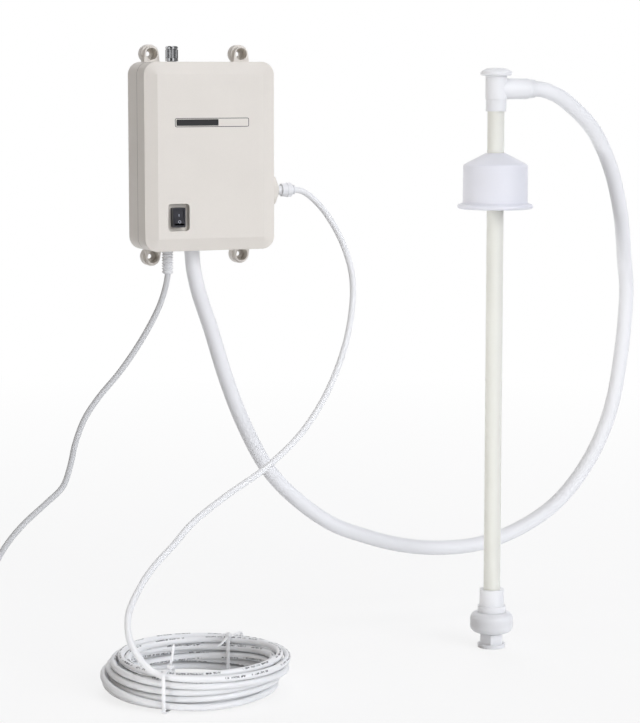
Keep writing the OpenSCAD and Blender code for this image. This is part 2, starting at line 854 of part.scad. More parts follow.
// Switch

module switch_body() color("#1b1b22") difference() {
    at_switch() union() {
        layer(recess_floor_d, bezel_front_d) rounded_rect(bezel_w, bezel_h, 1);
        layer(switch_back_d, recess_floor_d) square([switch_case_w, switch_case_h], center = true);
    }
    at_switch() layer(pocket_back_d, bezel_front_d + cut)
        square([rocker_w + 2 * rocker_side, rocker_h + 2 * rocker_side], center = true);
    at_switch() translate([0, -pivot_d, 0])
        rod_x(-bezel_w / 2 + 0.6, bezel_w / 2 - 0.6, rocker_pin_d + 2 * run);
}

// Side outline of the rocker in depth and height about its pin, level
module rocker_outline() {
    half = rocker_h / 2 - 0.7;
    lift = half * tan(rocker_tilt);
    polygon([
        [rocker_crown, 0], [rocker_crown + lift, half], [-0.4, half * 0.86],
        [-rocker_back, half * 0.35], [-rocker_back, -half * 0.35],
        [-0.4, -half * 0.86], [rocker_crown + lift, -half]
    ]);
}

module switch_rocker() color("#2b2a38") at_switch() translate([0, -pivot_d, 0]) rotate([-rocker_tilt, 0, 0]) {
    rotate([90, 0, -90]) linear_extrude(rocker_w, center = true) rocker_outline();
    rod_x(-bezel_w / 2 + 0.8, bezel_w / 2 - 0.8, rocker_pin_d);
}

module switch_terminals() color("goldenrod") at_switch() for (z = [-5, 0, 5])
    translate([0, -switch_back_d + 4, z]) cube([6.3, 8, 0.8], center = true);

// Flow control

module knob_outline(r) {
    polygon([
        for (i = [0:2 * knob_flutes - 1])
            let (a = 180 * i / knob_flutes, radius = r - (i % 2) * flute_depth)
            radius * [cos(a), sin(a)]
    ]);
}

module flow_knob() color("#c8c9cc") at_knob() {
    r = knob_d / 2;
    band = 3;
    crown = 3.4;
    chamfer = 0.9;
    groove = 0.8;
    flute_sink = 0.12;
    difference() {
        union() {
            rod_z(knob_z, knob_z + band, knob_d);
            translate([0, 0, knob_z + band])
                linear_extrude(knob_h - band - crown) knob_outline(r - flute_sink);
            translate([0, 0, knob_z + knob_h - crown]) turned([
                [0, 0], [r - groove, 0], [r - groove, groove], [r, groove],
                [r, crown - chamfer], [r - chamfer, crown], [0, crown]
            ]);
        }
        rod_z(knob_z - cut, knob_z + knob_hollow_h, knob_hollow_d);
        rod_z(knob_z, spindle_top_z + 2 * fit, spindle_d + 2 * fit);
    }
}

module pot_shaft() color("silver") at_knob() rod_z(top_z - wall - pot_h + 1, spindle_top_z, spindle_d);

module potentiometer() color("#6b6f75") at_knob() difference() {
    union() {
        rod_z(top_z - wall - pot_h, top_z - wall, pot_d);
        rod_z(top_z - wall, bush_z, bush_d);
        translate([-pot_d / 2, 2, top_z - wall - pot_h]) cube([pot_d, pot_d / 2 + 2, 1.6]);
    }
    rod_z(top_z - wall - pot_h + 1 - 2 * fit, bush_z + cut, spindle_d + 2 * run);
}

module pot_nut() color("silver") at_knob() difference() {
    hex_z(top_z, top_z + pot_nut_h, pot_nut_af);
    rod_z(top_z - cut, top_z + pot_nut_h + cut, bush_d + 2 * fit);
}

// Power cord

module strain_relief() color("#f0f0ee") at_cord() difference() {
    union() {
        rod_z(bottom_z + wall, bottom_z + wall + relief_flange_h, relief_d + 1);
        rod_z(bottom_z - root, bottom_z + wall, relief_neck_d);
        rod_z(bottom_z - relief_l, bottom_z, relief_d - 1.4);
        rod_z(bottom_z - 5, bottom_z, relief_d);
        for (i = [1:relief_ribs]) translate([0, 0, bottom_z - 5 - i * relief_rib_pitch])
            rod_z(0, relief_rib_pitch / 2, relief_d);
    }
    rod_z(bottom_z - relief_l - cut, bottom_z + wall + relief_flange_h + cut, cord_d + 2 * fit);
}

module power_cord() color("#f2f2f0")
    swept(
        concat(power_route, run_in(cord_coil_path, cord_d)), cord_d, tube_sides, [0, 1, 0]
    );

module power_cord_coil() color("#f2f2f0") swept(cord_coil_path, cord_d, loop_sides, [0, 0, 1]);

// Band round a bundle, in the plane of its radius and height
module tie_band(r0, r1, height, head_in, tail) {
    w = r1 - r0 + 2 * fit;
    h = height + 2 * fit;
    translate([(r0 + r1) / 2, 0, floor_z + tie_t + h / 2]) rotate([90, 0, 0])
        linear_extrude(tie_w, center = true) difference() {
            rounded_rect(w + 2 * tie_t, h + 2 * tie_t, 3);
            rounded_rect(w, h, 2);
        }
    // Lock head and cut tail
    translate([r0 + head_in, 0, floor_z + 2 * tie_t + h]) {
        translate([-2.5, -tie_w / 2 - 0.7, -0.2]) cube([5, tie_w + 1.4, 3.6]);
        translate([0, 0, 1.6]) rotate([0, -tail, 0]) translate([0, -1.3, -0.5]) cube([22, 2.6, 1]);
    }
}

module cord_ties() color("#f4f4f4") {
    translate([tube_coil_x, -tube_coil_depth, 0]) for (i = [0, 1]) rotate(tie_angles[i])
        tie_band(
            tube_coil_in - tube_d / 2 - tube_wave - tie_room, tube_coil_r + tube_wave + tie_room,
            (tube_layers - 1) * tube_layer + tube_d + 2.5 * tie_room, tie_head_in[i], tie_tails[i]
        );
    translate([cord_coil_x, -cord_coil_depth, 0]) rotate(300)
        tie_band(
            cord_coil_out - cord_pitch * cord_turns - cord_d / 2,
            cord_coil_out + cord_d / 2, cord_layer + cord_d, 0, 120
        );
}

// The plug lies on the floor at the end of the coil, along its last stretch
module at_plug() {
    tail = cord_coil_path[len(cord_coil_path) - 1];
    along = tail - cord_coil_path[len(cord_coil_path) - 2];
    translate([tail.x, tail.y, floor_z + plug_t / 2]) rotate(atan2(along.y, along.x) + 90) children();
}

module power_plug() color("#f0f0ee") at_plug() {
    tail_l = 16;
    lift = floor_z + tie_t + fit + cord_d / 2 - (floor_z + plug_t / 2);
    translate([0, -tail_l, 0]) layer(0, plug_l) rounded_rect(plug_w, plug_t, 4);
    hull($fn = 32) {
        translate([0, 0, lift]) rod_y(0, 2, cord_d + 2);
        translate([0, -tail_l, 0]) rod_y(-1, 1, plug_t - 3);
    }
}

module plug_blades() color("goldenrod") at_plug() for (sx = [-1, 1])
    translate([sx * blade_pitch / 2, -16 - plug_l - blade_l / 2, 0]) cube([1.5, blade_l, 6.3], center = true);

// Board

module power_board() color("darkgreen") difference() {
    translate([board_x, 0, board_z]) layer(board_d0, board_d0 + board_t)
        square([board_w, board_h], center = true);
    at_board_holes() rod_y(board_d0 - cut, board_d0 + board_t + cut, small_screw_d + 4 * fit);
}

module board_transformer() color("#3a3a3a") translate([board_x, 0, board_z - board_h / 4]) {
    layer(board_d0 + board_t, board_d0 + board_t + 4) square([28, 26], center = true);
    layer(board_d0 + board_t + 4, board_d0 + board_t + 18) square([18, 26], center = true);
    layer(board_d0 + board_t + 18, board_d0 + board_t + 22) square([28, 26], center = true);
    layer(board_d0 + board_t + 4, board_d0 + board_t + 18) square([24, 18], center = true);
}

module board_capacitors() color("#23364f") translate([board_x, 0, board_z + board_h / 4]) {
    translate([-board_w / 4, 0, 0]) rod_y(board_d0 + board_t, board_d0 + board_t + 20, 12.5);
    translate([2, 0, 4]) rod_y(board_d0 + board_t, board_d0 + board_t + 16, 10);
    translate([board_w / 4 + 2, 0, 4]) rod_y(board_d0 + board_t, board_d0 + board_t + 16, 10);
}

module small_screw(seat_d) {
    rod_y(seat_d - small_screw_l, seat_d, small_screw_d);
    rod_y(seat_d, seat_d + small_head_h, small_head_d);
}

module inner_screws() color("silver") {
    at_board_holes() small_screw(board_d0 + board_t);
    at_pump_mounts() small_screw(bracket_d1);
}

// Motor and pump

module motor_can() color("#b9bcc0") at_pump() difference() {
    rod_z(base_z1, motor_z1, motor_d);
    rod_z(base_z1 - cut, motor_z1 + cut, shaft_d + 2 * run);
}

module motor_end_cap() color("#26262a") at_pump() difference() {
    union() {
        rod_z(motor_z1, motor_z1 + end_cap_h - 2, motor_d - 2);
        rod_z(motor_z1, motor_z1 + end_cap_h, 12);
        for (s = [-1, 1]) translate([s * 9, 0, motor_z1 + end_cap_h - 1]) cube([0.8, 5, 6], center = true);
    }
    rod_z(motor_z1 - cut, motor_z1 + end_cap_h - 1, shaft_d + 2 * run);
}

module motor_shaft() color("silver") at_pump() rod_z(cam_z0 + 1, motor_z1 + end_cap_h - 2, shaft_d);

module drive_cam() color("#d8d2c0") at_pump() difference() {
    union() {
        rod_z(cam_z0, cam_z1, cam_d);
        translate([cam_throw, 0, 0]) rod_z(bearing_z0 - 0.5, cam_z0, cam_pin_d);
        translate([cam_throw, 0, 0]) rod_z(bearing_z1, cam_z0, cam_pin_d + 2.4);
    }
    rod_z(cam_z0 + 1, cam_z1 + cut, shaft_d + 2 * run);
}

module cam_bearing() color("silver") at_pump() translate([cam_throw, 0, 0]) difference() {
    rod_z(bearing_z0, bearing_z1, bearing_d);
    rod_z(bearing_z0 - cut, bearing_z1 + cut, cam_pin_d + 2 * run);
}

module wobble_plate() color("#e9e6dc") difference() {
    union() {
        at_pump() rod_z(wobble_z0, wobble_z1, 2 * wobble_bore_r + 5);
        at_chambers() {
            translate([-chamber_r, -4, wobble_z0 + root]) cube([chamber_r + 3.5, 8, 3]);
            rod_z(diaphragm_z1, wobble_z0 + 2 * root, 4.6);
        }
    }
    at_pump() rod_z(wobble_z0 - cut, wobble_z1 + cut, 2 * wobble_bore_r);
}

module pump_disc(z0, z1) {
    difference() {
        at_pump() rod_z(z0, z1, pump_d);
        at_pump_bolts() rod_z(z0 - cut, z1 + cut, pump_screw_d + 2 * fit);
    }
}

module diaphragm() color("#2d2d2d") pump_disc(plate_z1, diaphragm_z1);

module valve_plate() color("#efe9d8") difference() {
    pump_disc(head_z1, plate_z1);
    at_chambers() {
        rod_z(plate_z1 - 2.5, plate_z1 + cut, chamber_d);
        rod_z(head_z1 - cut, plate_z1, valve_stem_d + 2 * fit);
        for (a = [60, 180, 300]) rotate(a) translate([2.6, 0, 0]) rod_z(head_z1 - cut, plate_z1, 1.6);
    }
}

module check_valves() color("#35353a") at_chambers() {
    rod_z(head_z1 - 1, head_z1, valve_d);
    rod_z(head_z1, plate_z1 - 2, valve_stem_d);
}

module pump_base() color("#2a2a2e") difference() {
    pump_disc(diaphragm_z1, base_z1);
    at_pump() rod_z(diaphragm_z1 - cut, base_z1 - base_roof, cavity_d);
    at_pump() rod_z(base_z1 - base_roof - cut, base_z1 + cut, 10);
}

module pump_head() color("#2a2a2e") difference() {
    union() {
        pump_disc(head_z0, head_z1);
        translate([0, -hose_depth, in_z]) rod_x(inlet_stub_x, pump_x - 12, inlet_stub_d);
        at_outlet() rod_x(pump_x + 10, link_mid - 0.3, stem_d);
    }
    at_pump() difference() {
        rod_z(head_z1 - 6, head_z1 + cut, 32);
        rod_z(head_z1 - 7, head_z1 + 2 * cut, 11);
    }
    at_pump_bolts() rod_z(head_z0 - cut, head_z0 + 3, pump_head_screw_d + 4 * fit);
    translate([pump_x - 8, -hose_depth, 0]) rod_z(in_z, head_z1 - 5, elbow_bore);
    translate([0, -hose_depth, in_z]) rod_x(inlet_stub_x - cut, pump_x - 8, elbow_bore);
    at_pump() rod_z(out_z, head_z1 + cut, stem_bore + 1);
    translate([pump_x, 0, out_z]) rod_y(pump_depth, out_depth, stem_bore);
    at_outlet() rod_x(pump_x, link_mid + cut, stem_bore);
}

module pump_screws() color("silver") at_pump_bolts() {
    rod_z(head_z0 + 3 - 2.4, head_z0 + 3, pump_head_screw_d);
    rod_z(head_z0 + 3, base_z1 - 3, pump_screw_d);
}

// Pressure switch

module pressure_barrel() color("#303036") at_pump() {
    difference() {
        rod_z(barrel_z0, head_z0, barrel_d);
        rod_z(barrel_z0 + barrel_floor, head_z0 + cut, spring_bore);
        rod_z(barrel_z0 - cut, barrel_z0 + barrel_floor + cut, plunger_d + 2 * run);
    }
    for (s = [-1, 1])
        translate([0, s * (micro_size.y + leg_t) / 2, (barrel_z0 + micro_z1 - micro_size.z) / 2])
        cube([12, leg_t, barrel_z0 - micro_z1 + micro_size.z], center = true);
}

module pressure_plunger() color("#d9d4c4") at_pump() {
    rod_z(plunger_z1 - plunger_flange_t, plunger_z1, plunger_flange_d);
    rod_z(plunger_z0, plunger_z1 - plunger_flange_t, plunger_d);
}

module pressure_spring() color("silver") at_pump() swept(spring_path, spring_wire, loop_sides, [0, 0, 1]);

module micro_switch() color("#1f1f24") at_pump() {
    translate([0, 0, micro_z1 - micro_size.z / 2]) cube(micro_size, center = true);
    rod_z(micro_z1, micro_z1 + 1, button_d);
    for (x = [-7, 0, 7]) translate([x, 0, micro_z1 - micro_size.z - 2]) cube([0.8, 4, 4], center = true);
}

// Mounting of the pump

module pump_bracket() color("#c4c6c8") difference() {
    union() {
        translate([pump_x, 0, (bracket_z0 + bracket_z1) / 2]) layer(bracket_d0, bracket_d1)
            square([bracket_w, bracket_z1 - bracket_z0], center = true);
        for (z = [base_z1 + motor_l / 4, base_z1 + motor_l * 3 / 4]) translate([pump_x, 0, z])
            layer(bracket_d1 - root, pump_depth) square([motor_d + 2, saddle_h], center = true);
    }
    at_pump() rod_z(base_z1 - cut, motor_z1 + cut, motor_d + 2 * fit);
    at_pump() rod_z(bracket_z0 - cut, base_z1, pump_d + 2 * fit);
    at_pump_mounts() rod_y(bracket_d0 - cut, bracket_d1 + cut, small_screw_d + 4 * fit);
}

module pump_feet() color("#333333") at_pump_mounts() difference() {
    rod_y(wall, bracket_d0, rubber_d);
    rod_y(wall - cut, bracket_d0 + cut, pin_d + 2 * fit);
}

// Inlet

module inlet_elbow() color("#f0efe8") difference() {
    at_hose() {
        rod_z(elbow_foot_z, in_z + elbow_d / 2, elbow_d);
        rod_z(elbow_foot_z - barb_l, elbow_foot_z, barb_d);
        translate([0, 0, in_z]) rod_x(0, elbow_end_x - hose_x, elbow_d - 1);
    }
    at_hose() rod_z(elbow_foot_z - barb_l - cut, in_z, elbow_bore);
    at_hose() translate([0, 0, in_z]) rod_x(0, elbow_end_x - hose_x + cut, elbow_bore);
    at_hose() translate([0, 0, in_z])
        rod_x(inlet_stub_x - fit - hose_x, elbow_end_x - hose_x + cut, inlet_stub_d + 2 * fit);
}

module inlet_clamp() color("silver") at_hose() {
    difference() {
        rod_z(clamp_z - clamp_w, clamp_z, hose_od + 2 * fit + 2 * clamp_t);
        rod_z(clamp_z - clamp_w - cut, clamp_z + cut, hose_od + 2 * fit);
    }
    translate([0, -hose_od / 2 - clamp_t - 2.4, clamp_z - clamp_w / 2]) rod_x(-6, 6, 5);
}

module hose_grommet() color("#3a3a3c") at_hose() difference() {
    union() {
        rod_z(bottom_z - grommet_flange_t, bottom_z, grommet_flange_d);
        rod_z(bottom_z - root, bottom_z + wall + root, grommet_d);
        rod_z(bottom_z + wall, bottom_z + wall + grommet_flange_t, grommet_flange_d);
    }
    rod_z(bottom_z - grommet_flange_t - cut, bottom_z + wall + grommet_flange_t + cut, hose_od + 2 * fit);
}

module suction_hose() color("#eceef0")
    swept(hose_route, hose_od, 12, [0, 1, 0], hose_id);

// Outlet

module outlet_link() color("#e8e8e0") at_outlet() difference() {
    rod_x(link_x0, shank_x0, link_d);
    rod_x(link_x0 - cut, shank_x0 + cut, stem_d + 2 * fit);
}

module outlet_fitting() color("#f6f6f4") at_outlet() difference() {
    turned_x(concat(
        [
            [link_mid + 0.3, 0], [link_mid + 0.3, stem_d / 2],
            [shank_x0, stem_d / 2], [shank_x0, shank_d / 2],
            [fitting_x2, shank_d / 2], [fitting_x2, fitting_d / 2 - 0.8],
            [fitting_x2 + 5.4, fitting_d / 2 - 0.3],
            [fitting_x2 + 5.6, fitting_d / 2 - 0.7], [fitting_x2 + 6, fitting_d / 2]
        ],
        arc([fitting_x3 - 2.2, fitting_d / 2 - 2.2], 2.2, 90, 0),
        [[fitting_x3, 0]]
    ));
    rod_x(link_mid, fitting_x3 + cut, stem_bore);
    rod_x(stop_x, fitting_x3 + cut, tube_d + 2 * tube_room);
    rod_x(socket_x, fitting_x3 + cut, collet_d + 2 * run);
}

module outlet_nut() color("#f0f0ec") at_outlet() difference() {
    hex_x(inner_x - nut_t, inner_x, nut_af);
    rod_x(inner_x - nut_t - cut, inner_x + cut, shank_d + 2 * fit);
}

module outlet_collet() color("#dfe3e6") at_outlet() difference() {
    union() {
        rod_x(collet_x0, collet_flange_x, collet_d);
        rod_x(collet_flange_x, collet_flange_x + collet_flange_t, collet_flange_d);
    }
    rod_x(collet_x0 - cut, collet_flange_x + collet_flange_t + cut, tube_d + 2 * tube_room);
}

module outlet_tube() color("#f4f5f6")
    swept(
        concat(smooth_route(outlet_route, 2), run_in(tube_coil_path, 4)), tube_d, tube_sides, [0, 1, 0]
    );

module outlet_coil() color("#f4f5f6") swept(tube_coil_path, tube_d, loop_sides, [0, 0, 1]);

// Wand

module wand_tee() color("#f1f2f3") at_wand() difference() {
    union() {
        rod_z(tee_z, tee_top, tee_d - 1);
        rod_z(tee_z + socket_l, tee_top, tee_d);
        translate([0, 0, branch_z]) turned_x([
            [0, 0], [0, branch_d / 2], [branch_l - 8, branch_d / 2], [branch_l - 5, branch_d / 2 - 0.9],
            [branch_l, branch_d / 2 - 1.3], [branch_l, 0]
        ]);
    }
    rod_z(tee_z - cut, pipe_z1, pipe_d + 2 * fit);
    rod_z(tee_z, tee_top + cut, plug_shank_d + 2 * fit);
    translate([0, 0, branch_z]) rod_x(0, branch_l + cut, hose_id);
    translate([0, 0, branch_z]) rod_x(branch_l - hose_grip, branch_l + cut, hose_od + 2 * fit);
}

module wand_plug() color("#f4f4f4") at_wand() {
    r = mushroom_d / 2;
    rim = 2.6;
    turned(concat(
        [[0, tee_top], [r - rim, tee_top]],
        arc([r - rim, tee_top + rim], rim, -90, 60),
        [[r * 0.62, tee_top + mushroom_h - 0.6], [r * 0.3, tee_top + mushroom_h], [0, tee_top + mushroom_h]]
    ));
    rod_z(tee_top - plug_shank_l, tee_top, plug_shank_d);
}

module wand_pipe() color("#e8e7de") at_wand() difference() {
    rod_z(pipe_z0, pipe_z1, pipe_d);
    rod_z(pipe_z0 - cut, pipe_z1 + cut, pipe_bore);
}

module bottle_cap() color("#e8e8f0") at_wand() translate([0, 0, cap_z]) {
    r = cap_d / 2;
    top = cap_wall_h + cap_cone_h;
    bore = pipe_d / 2 + 0.3;
    inner = r - cap_t;
    difference() {
        turned(concat(
            [[0, 0], [rim_d / 2 - 2.4, 0]],
            arc([rim_d / 2 - 2.4, 2.4], 2.4, -90, 90),
            [
                [r + 2.6, rim_h - 1], [r + 0.3, rim_h], [r, cap_wall_h - 1.2], [r - 1.2, cap_wall_h + 0.6],
                [cone_top_d / 2, top], [0, top]
            ]
        ));
        turned([
            [0, -cut], [inner, -cut], [inner, cap_wall_h - cap_t],
            [cone_top_d / 2 + grommet_t, top - 2 * cap_t],
            [0, top - 2 * cap_t]
        ]);
        rod_z(top - 3 * cap_t, top + cut, 2 * bore);
    }
    // Ribs that grip the neck of the bottle
    for (i = [0:neck_ribs - 1]) rotate(360 * i / neck_ribs) translate([neck_d / 2, -1, rim_h])
        cube([inner + root - neck_d / 2, 2, cap_wall_h - rim_h - cap_t - 4]);
}

module cap_grommet() color("#bfc3c6") at_wand() translate([0, 0, cap_z + cap_wall_h + cap_cone_h - 2 * cap_t])
    difference() {
        rod_z(-grommet_h, 0, pipe_d + 2 * grommet_t);
        rod_z(-grommet_h - cut, cut, pipe_d + 2 * run);
    }

module foot_collar() color("#eef0f2") at_wand() difference() {
    union() {
        rod_z(housing_z1, housing_z1 + ring_h, ring_d);
        rod_z(housing_z1 + ring_h, collar_z1, collar_d);
    }
    rod_z(pipe_z0, collar_z1 + cut, pipe_d + 2 * fit);
    rod_z(housing_z1 - cut, collar_z1, pipe_bore - 1);
}

// Upper half of the outline of the float housing, as [radius, height] points
function housing_rim(z_flat, side) =
    let (r = float_d / 2, c = [r - housing_round, z_flat - side * housing_round])
    arc(c, housing_round, 0, side * 90);

module float_housing_top() color("#eef0f2") at_wand() difference() {
    turned(concat(
        [[0, housing_mid], [float_d / 2, housing_mid]], housing_rim(housing_z1, 1), [[0, housing_z1]]
    ));
    rod_z(housing_mid - cut, housing_z1 - housing_wall, float_d - 2 * housing_wall);
    rod_z(housing_mid, housing_z1 + cut, pipe_bore - 1);
}

module float_housing_base() color("#e6e9ec") at_wand() difference() {
    turned(concat(
        [[0, housing_mid], [0, housing_z0]],
        [for (i = [6:-1:0]) housing_rim(housing_z0, -1)[i]],
        [[float_d / 2, housing_mid]]
    ));
    rod_z(housing_z0 + housing_wall, housing_mid + cut, float_d - 2 * housing_wall);
    rod_z(housing_z0 - cut, housing_mid, foot_thread_d + 2 * fit);
}

module float() color("#d8dde2") at_wand() translate([0, 0, housing_z0 + housing_wall + 0.2]) {
    rod_z(0, float_puck_h, float_puck_d);
}

module foot_nut() color("#eef0f2") at_wand() difference() {
    union() {
        rod_z(0, flange_t, flange_d);
        hex_z(flange_t, flange_t + hex_h, hex_af);
        rod_z(flange_t + hex_h, housing_z0, foot_thread_d + 3);
        rod_z(flange_t + hex_h, housing_z0 + housing_wall, foot_thread_d);
    }
    rod_z(strainer_z, housing_z0 + housing_wall + cut, foot_bore);
    rod_z(-cut, housing_z0, foot_bore - 3);
}

module strainer() color("#9aa0a6") at_wand() difference() {
    rod_z(strainer_z, strainer_z + strainer_t, foot_bore - 2 * fit);
    rod_z(strainer_z - cut, strainer_z + strainer_t + cut, 1.4);
    for (ring = [1, 2]) for (i = [0:6 * ring - 1]) rotate(60 * i / ring) translate([2.2 * ring, 0, 0])
        rod_z(strainer_z - cut, strainer_z + strainer_t + cut, 1.4);
}

rear_shell();
front_cover();
case_screws();
switch_body();
switch_rocker();
switch_terminals();
flow_knob();
pot_shaft();
potentiometer();
pot_nut();
strain_relief();
power_cord();
power_cord_coil();
cord_ties();
power_plug();
plug_blades();
power_board();
board_transformer();
board_capacitors();
inner_screws();
motor_can();
motor_end_cap();
motor_shaft();
drive_cam();
cam_bearing();
wobble_plate();
diaphragm();
valve_plate();
check_valves();
pump_base();
pump_head();
pump_screws();
pressure_barrel();
pressure_plunger();
pressure_spring();
micro_switch();
pump_bracket();
pump_feet();
inlet_elbow();
inlet_clamp();
hose_grommet();
suction_hose();
outlet_link();
outlet_fitting();
outlet_nut();
outlet_collet();
outlet_tube();
outlet_coil();
wand_tee();
wand_plug();
wand_pipe();
bottle_cap();
cap_grommet();
foot_collar();
float_housing_top();
float_housing_base();
float();
foot_nut();
strainer();
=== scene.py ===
"""Looks of the wall-mounted bottled water pump around its CAD frame, in metres and in the frame's axes."""

import json
import math

import bmesh
import bpy
from mathutils import Matrix, Vector
from mathutils.bvhtree import BVHTree


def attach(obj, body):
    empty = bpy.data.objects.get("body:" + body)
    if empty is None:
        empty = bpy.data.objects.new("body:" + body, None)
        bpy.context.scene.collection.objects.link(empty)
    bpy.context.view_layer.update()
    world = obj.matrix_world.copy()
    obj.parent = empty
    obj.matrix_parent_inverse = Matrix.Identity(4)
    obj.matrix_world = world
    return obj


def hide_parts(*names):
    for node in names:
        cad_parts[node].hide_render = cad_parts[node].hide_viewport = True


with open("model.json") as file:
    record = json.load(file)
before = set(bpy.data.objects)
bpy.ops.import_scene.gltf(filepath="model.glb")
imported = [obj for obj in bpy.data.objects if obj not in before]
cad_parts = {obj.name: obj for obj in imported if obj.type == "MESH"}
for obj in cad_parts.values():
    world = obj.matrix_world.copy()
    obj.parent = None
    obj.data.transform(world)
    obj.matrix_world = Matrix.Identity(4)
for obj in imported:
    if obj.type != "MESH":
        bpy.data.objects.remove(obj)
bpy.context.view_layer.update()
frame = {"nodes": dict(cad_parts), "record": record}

MM = 0.001
FLOOR_Z = -0.5
UP = Vector((0, 0, 1))
# The side of the tubes that the picture shows; their UV seam lies on the other one
SHOWN_SIDE = Vector((-0.2, -0.55, 0.8))
scene = bpy.context.scene
scene.view_settings.view_transform = "Standard"


# Camera, at the photograph's viewing angle

CAMERA_PLACE = (-0.8393, -2.3104, 0.0848)
CAMERA_HEADING = 23
CAMERA_PITCH = 6.9
CAMERA_LENS = 119.5


def add_camera():
    heading = math.radians(CAMERA_HEADING)
    pitch = math.radians(CAMERA_PITCH)
    flat = math.cos(pitch)
    look = Vector((math.sin(heading) * flat, math.cos(heading) * flat, -math.sin(pitch)))
    data = bpy.data.cameras.new("photo_camera")
    data.lens = CAMERA_LENS
    data.clip_end = 100
    camera = bpy.data.objects.new("photo_camera", data)
    camera.location = CAMERA_PLACE
    camera.rotation_euler = look.to_track_quat("-Z", "Y").to_euler()
    scene.collection.objects.link(camera)
    scene.camera = camera


# Node materials

def linear(red, green, blue):
    """Colour written as it looks on a screen, 0 to 255, for a shader."""
    def channel(value):
        part = value / 255
        return part / 12.92 if part <= 0.04045 else ((part + 0.055) / 1.055) ** 2.4
    return (channel(red), channel(green), channel(blue), 1.0)


def scaled(colour, factor):
    return tuple(min(part * factor, 1.0) for part in colour[:3]) + (1.0,)


def node(tree, kind, inputs=None, **settings):
    made = tree.nodes.new(kind)
    for key, value in settings.items():
        setattr(made, key, value)
    for key, value in (inputs or {}).items():
        socket = made.inputs[key]
        if isinstance(value, bpy.types.NodeSocket):
            tree.links.new(value, socket)
        else:
            socket.default_value = value
    return made


def mixed(tree, factor, first, second):
    made = node(tree, "ShaderNodeMix", data_type="RGBA")
    for socket, value in ((made.inputs[0], factor), (made.inputs[6], first), (made.inputs[7], second)):
        if isinstance(value, bpy.types.NodeSocket):
            tree.links.new(value, socket)
        else:
            socket.default_value = value
    return made.outputs[2]


def spread(tree, value, low, high, to_low, to_high):
    return node(
        tree, "ShaderNodeMapRange",
        {"Value": value, "From Min": low, "From Max": high, "To Min": to_low, "To Max": to_high},
    ).outputs[0]


def maths(tree, operation, *values):
    return node(tree, "ShaderNodeMath", dict(enumerate(values)), operation=operation).outputs[0]


def noise(tree, where, scale, detail=3.0):
    return node(
        tree, "ShaderNodeTexNoise",
        {"Vector": where, "Scale": scale, "Detail": detail, "Roughness": 0.55},
    ).outputs[0]


def edge_mask(tree, radius):
    """1 on outer edges and corners, fading out over the radius."""
    rounded = node(tree, "ShaderNodeBevel", {"Radius": radius}, samples=6)
    flat = node(tree, "ShaderNodeNewGeometry")
    lined = node(
        tree, "ShaderNodeVectorMath", {0: rounded.outputs[0], 1: flat.outputs["Normal"]},
        operation="DOT_PRODUCT",
    )
    return spread(tree, lined.outputs["Value"], 0.98, 0.80, 0.0, 1.0)


def seam_shadow_mask(tree, where, seam_y, half):
    """Where the painted shadow of the parting line lies: 1 along the parting line of the case, fading out
    over half its width.
    """
    parts = node(tree, "ShaderNodeSeparateXYZ", {0: where})
    off = maths(tree, "ABSOLUTE", maths(tree, "SUBTRACT", parts.outputs[1], seam_y))
    return spread(tree, off, half, 0.4 * half, 0.0, 0.85)


def seen_directly(tree, path):
    """1 for what the camera sees, also in a mirror or through glass; 0 for the light on the object."""
    seen = maths(tree, "MAXIMUM", path.outputs["Is Camera Ray"], path.outputs["Is Glossy Ray"])
    return maths(tree, "MAXIMUM", seen, path.outputs["Is Transmission Ray"])


def blank_material(name):
    material = bpy.data.materials.new(name)
    material.use_nodes = True
    tree = material.node_tree
    tree.nodes.clear()
    shader = node(tree, "ShaderNodeBsdfPrincipled")
    out = node(tree, "ShaderNodeOutputMaterial")
    tree.links.new(shader.outputs[0], out.inputs["Surface"])
    return material, tree, shader


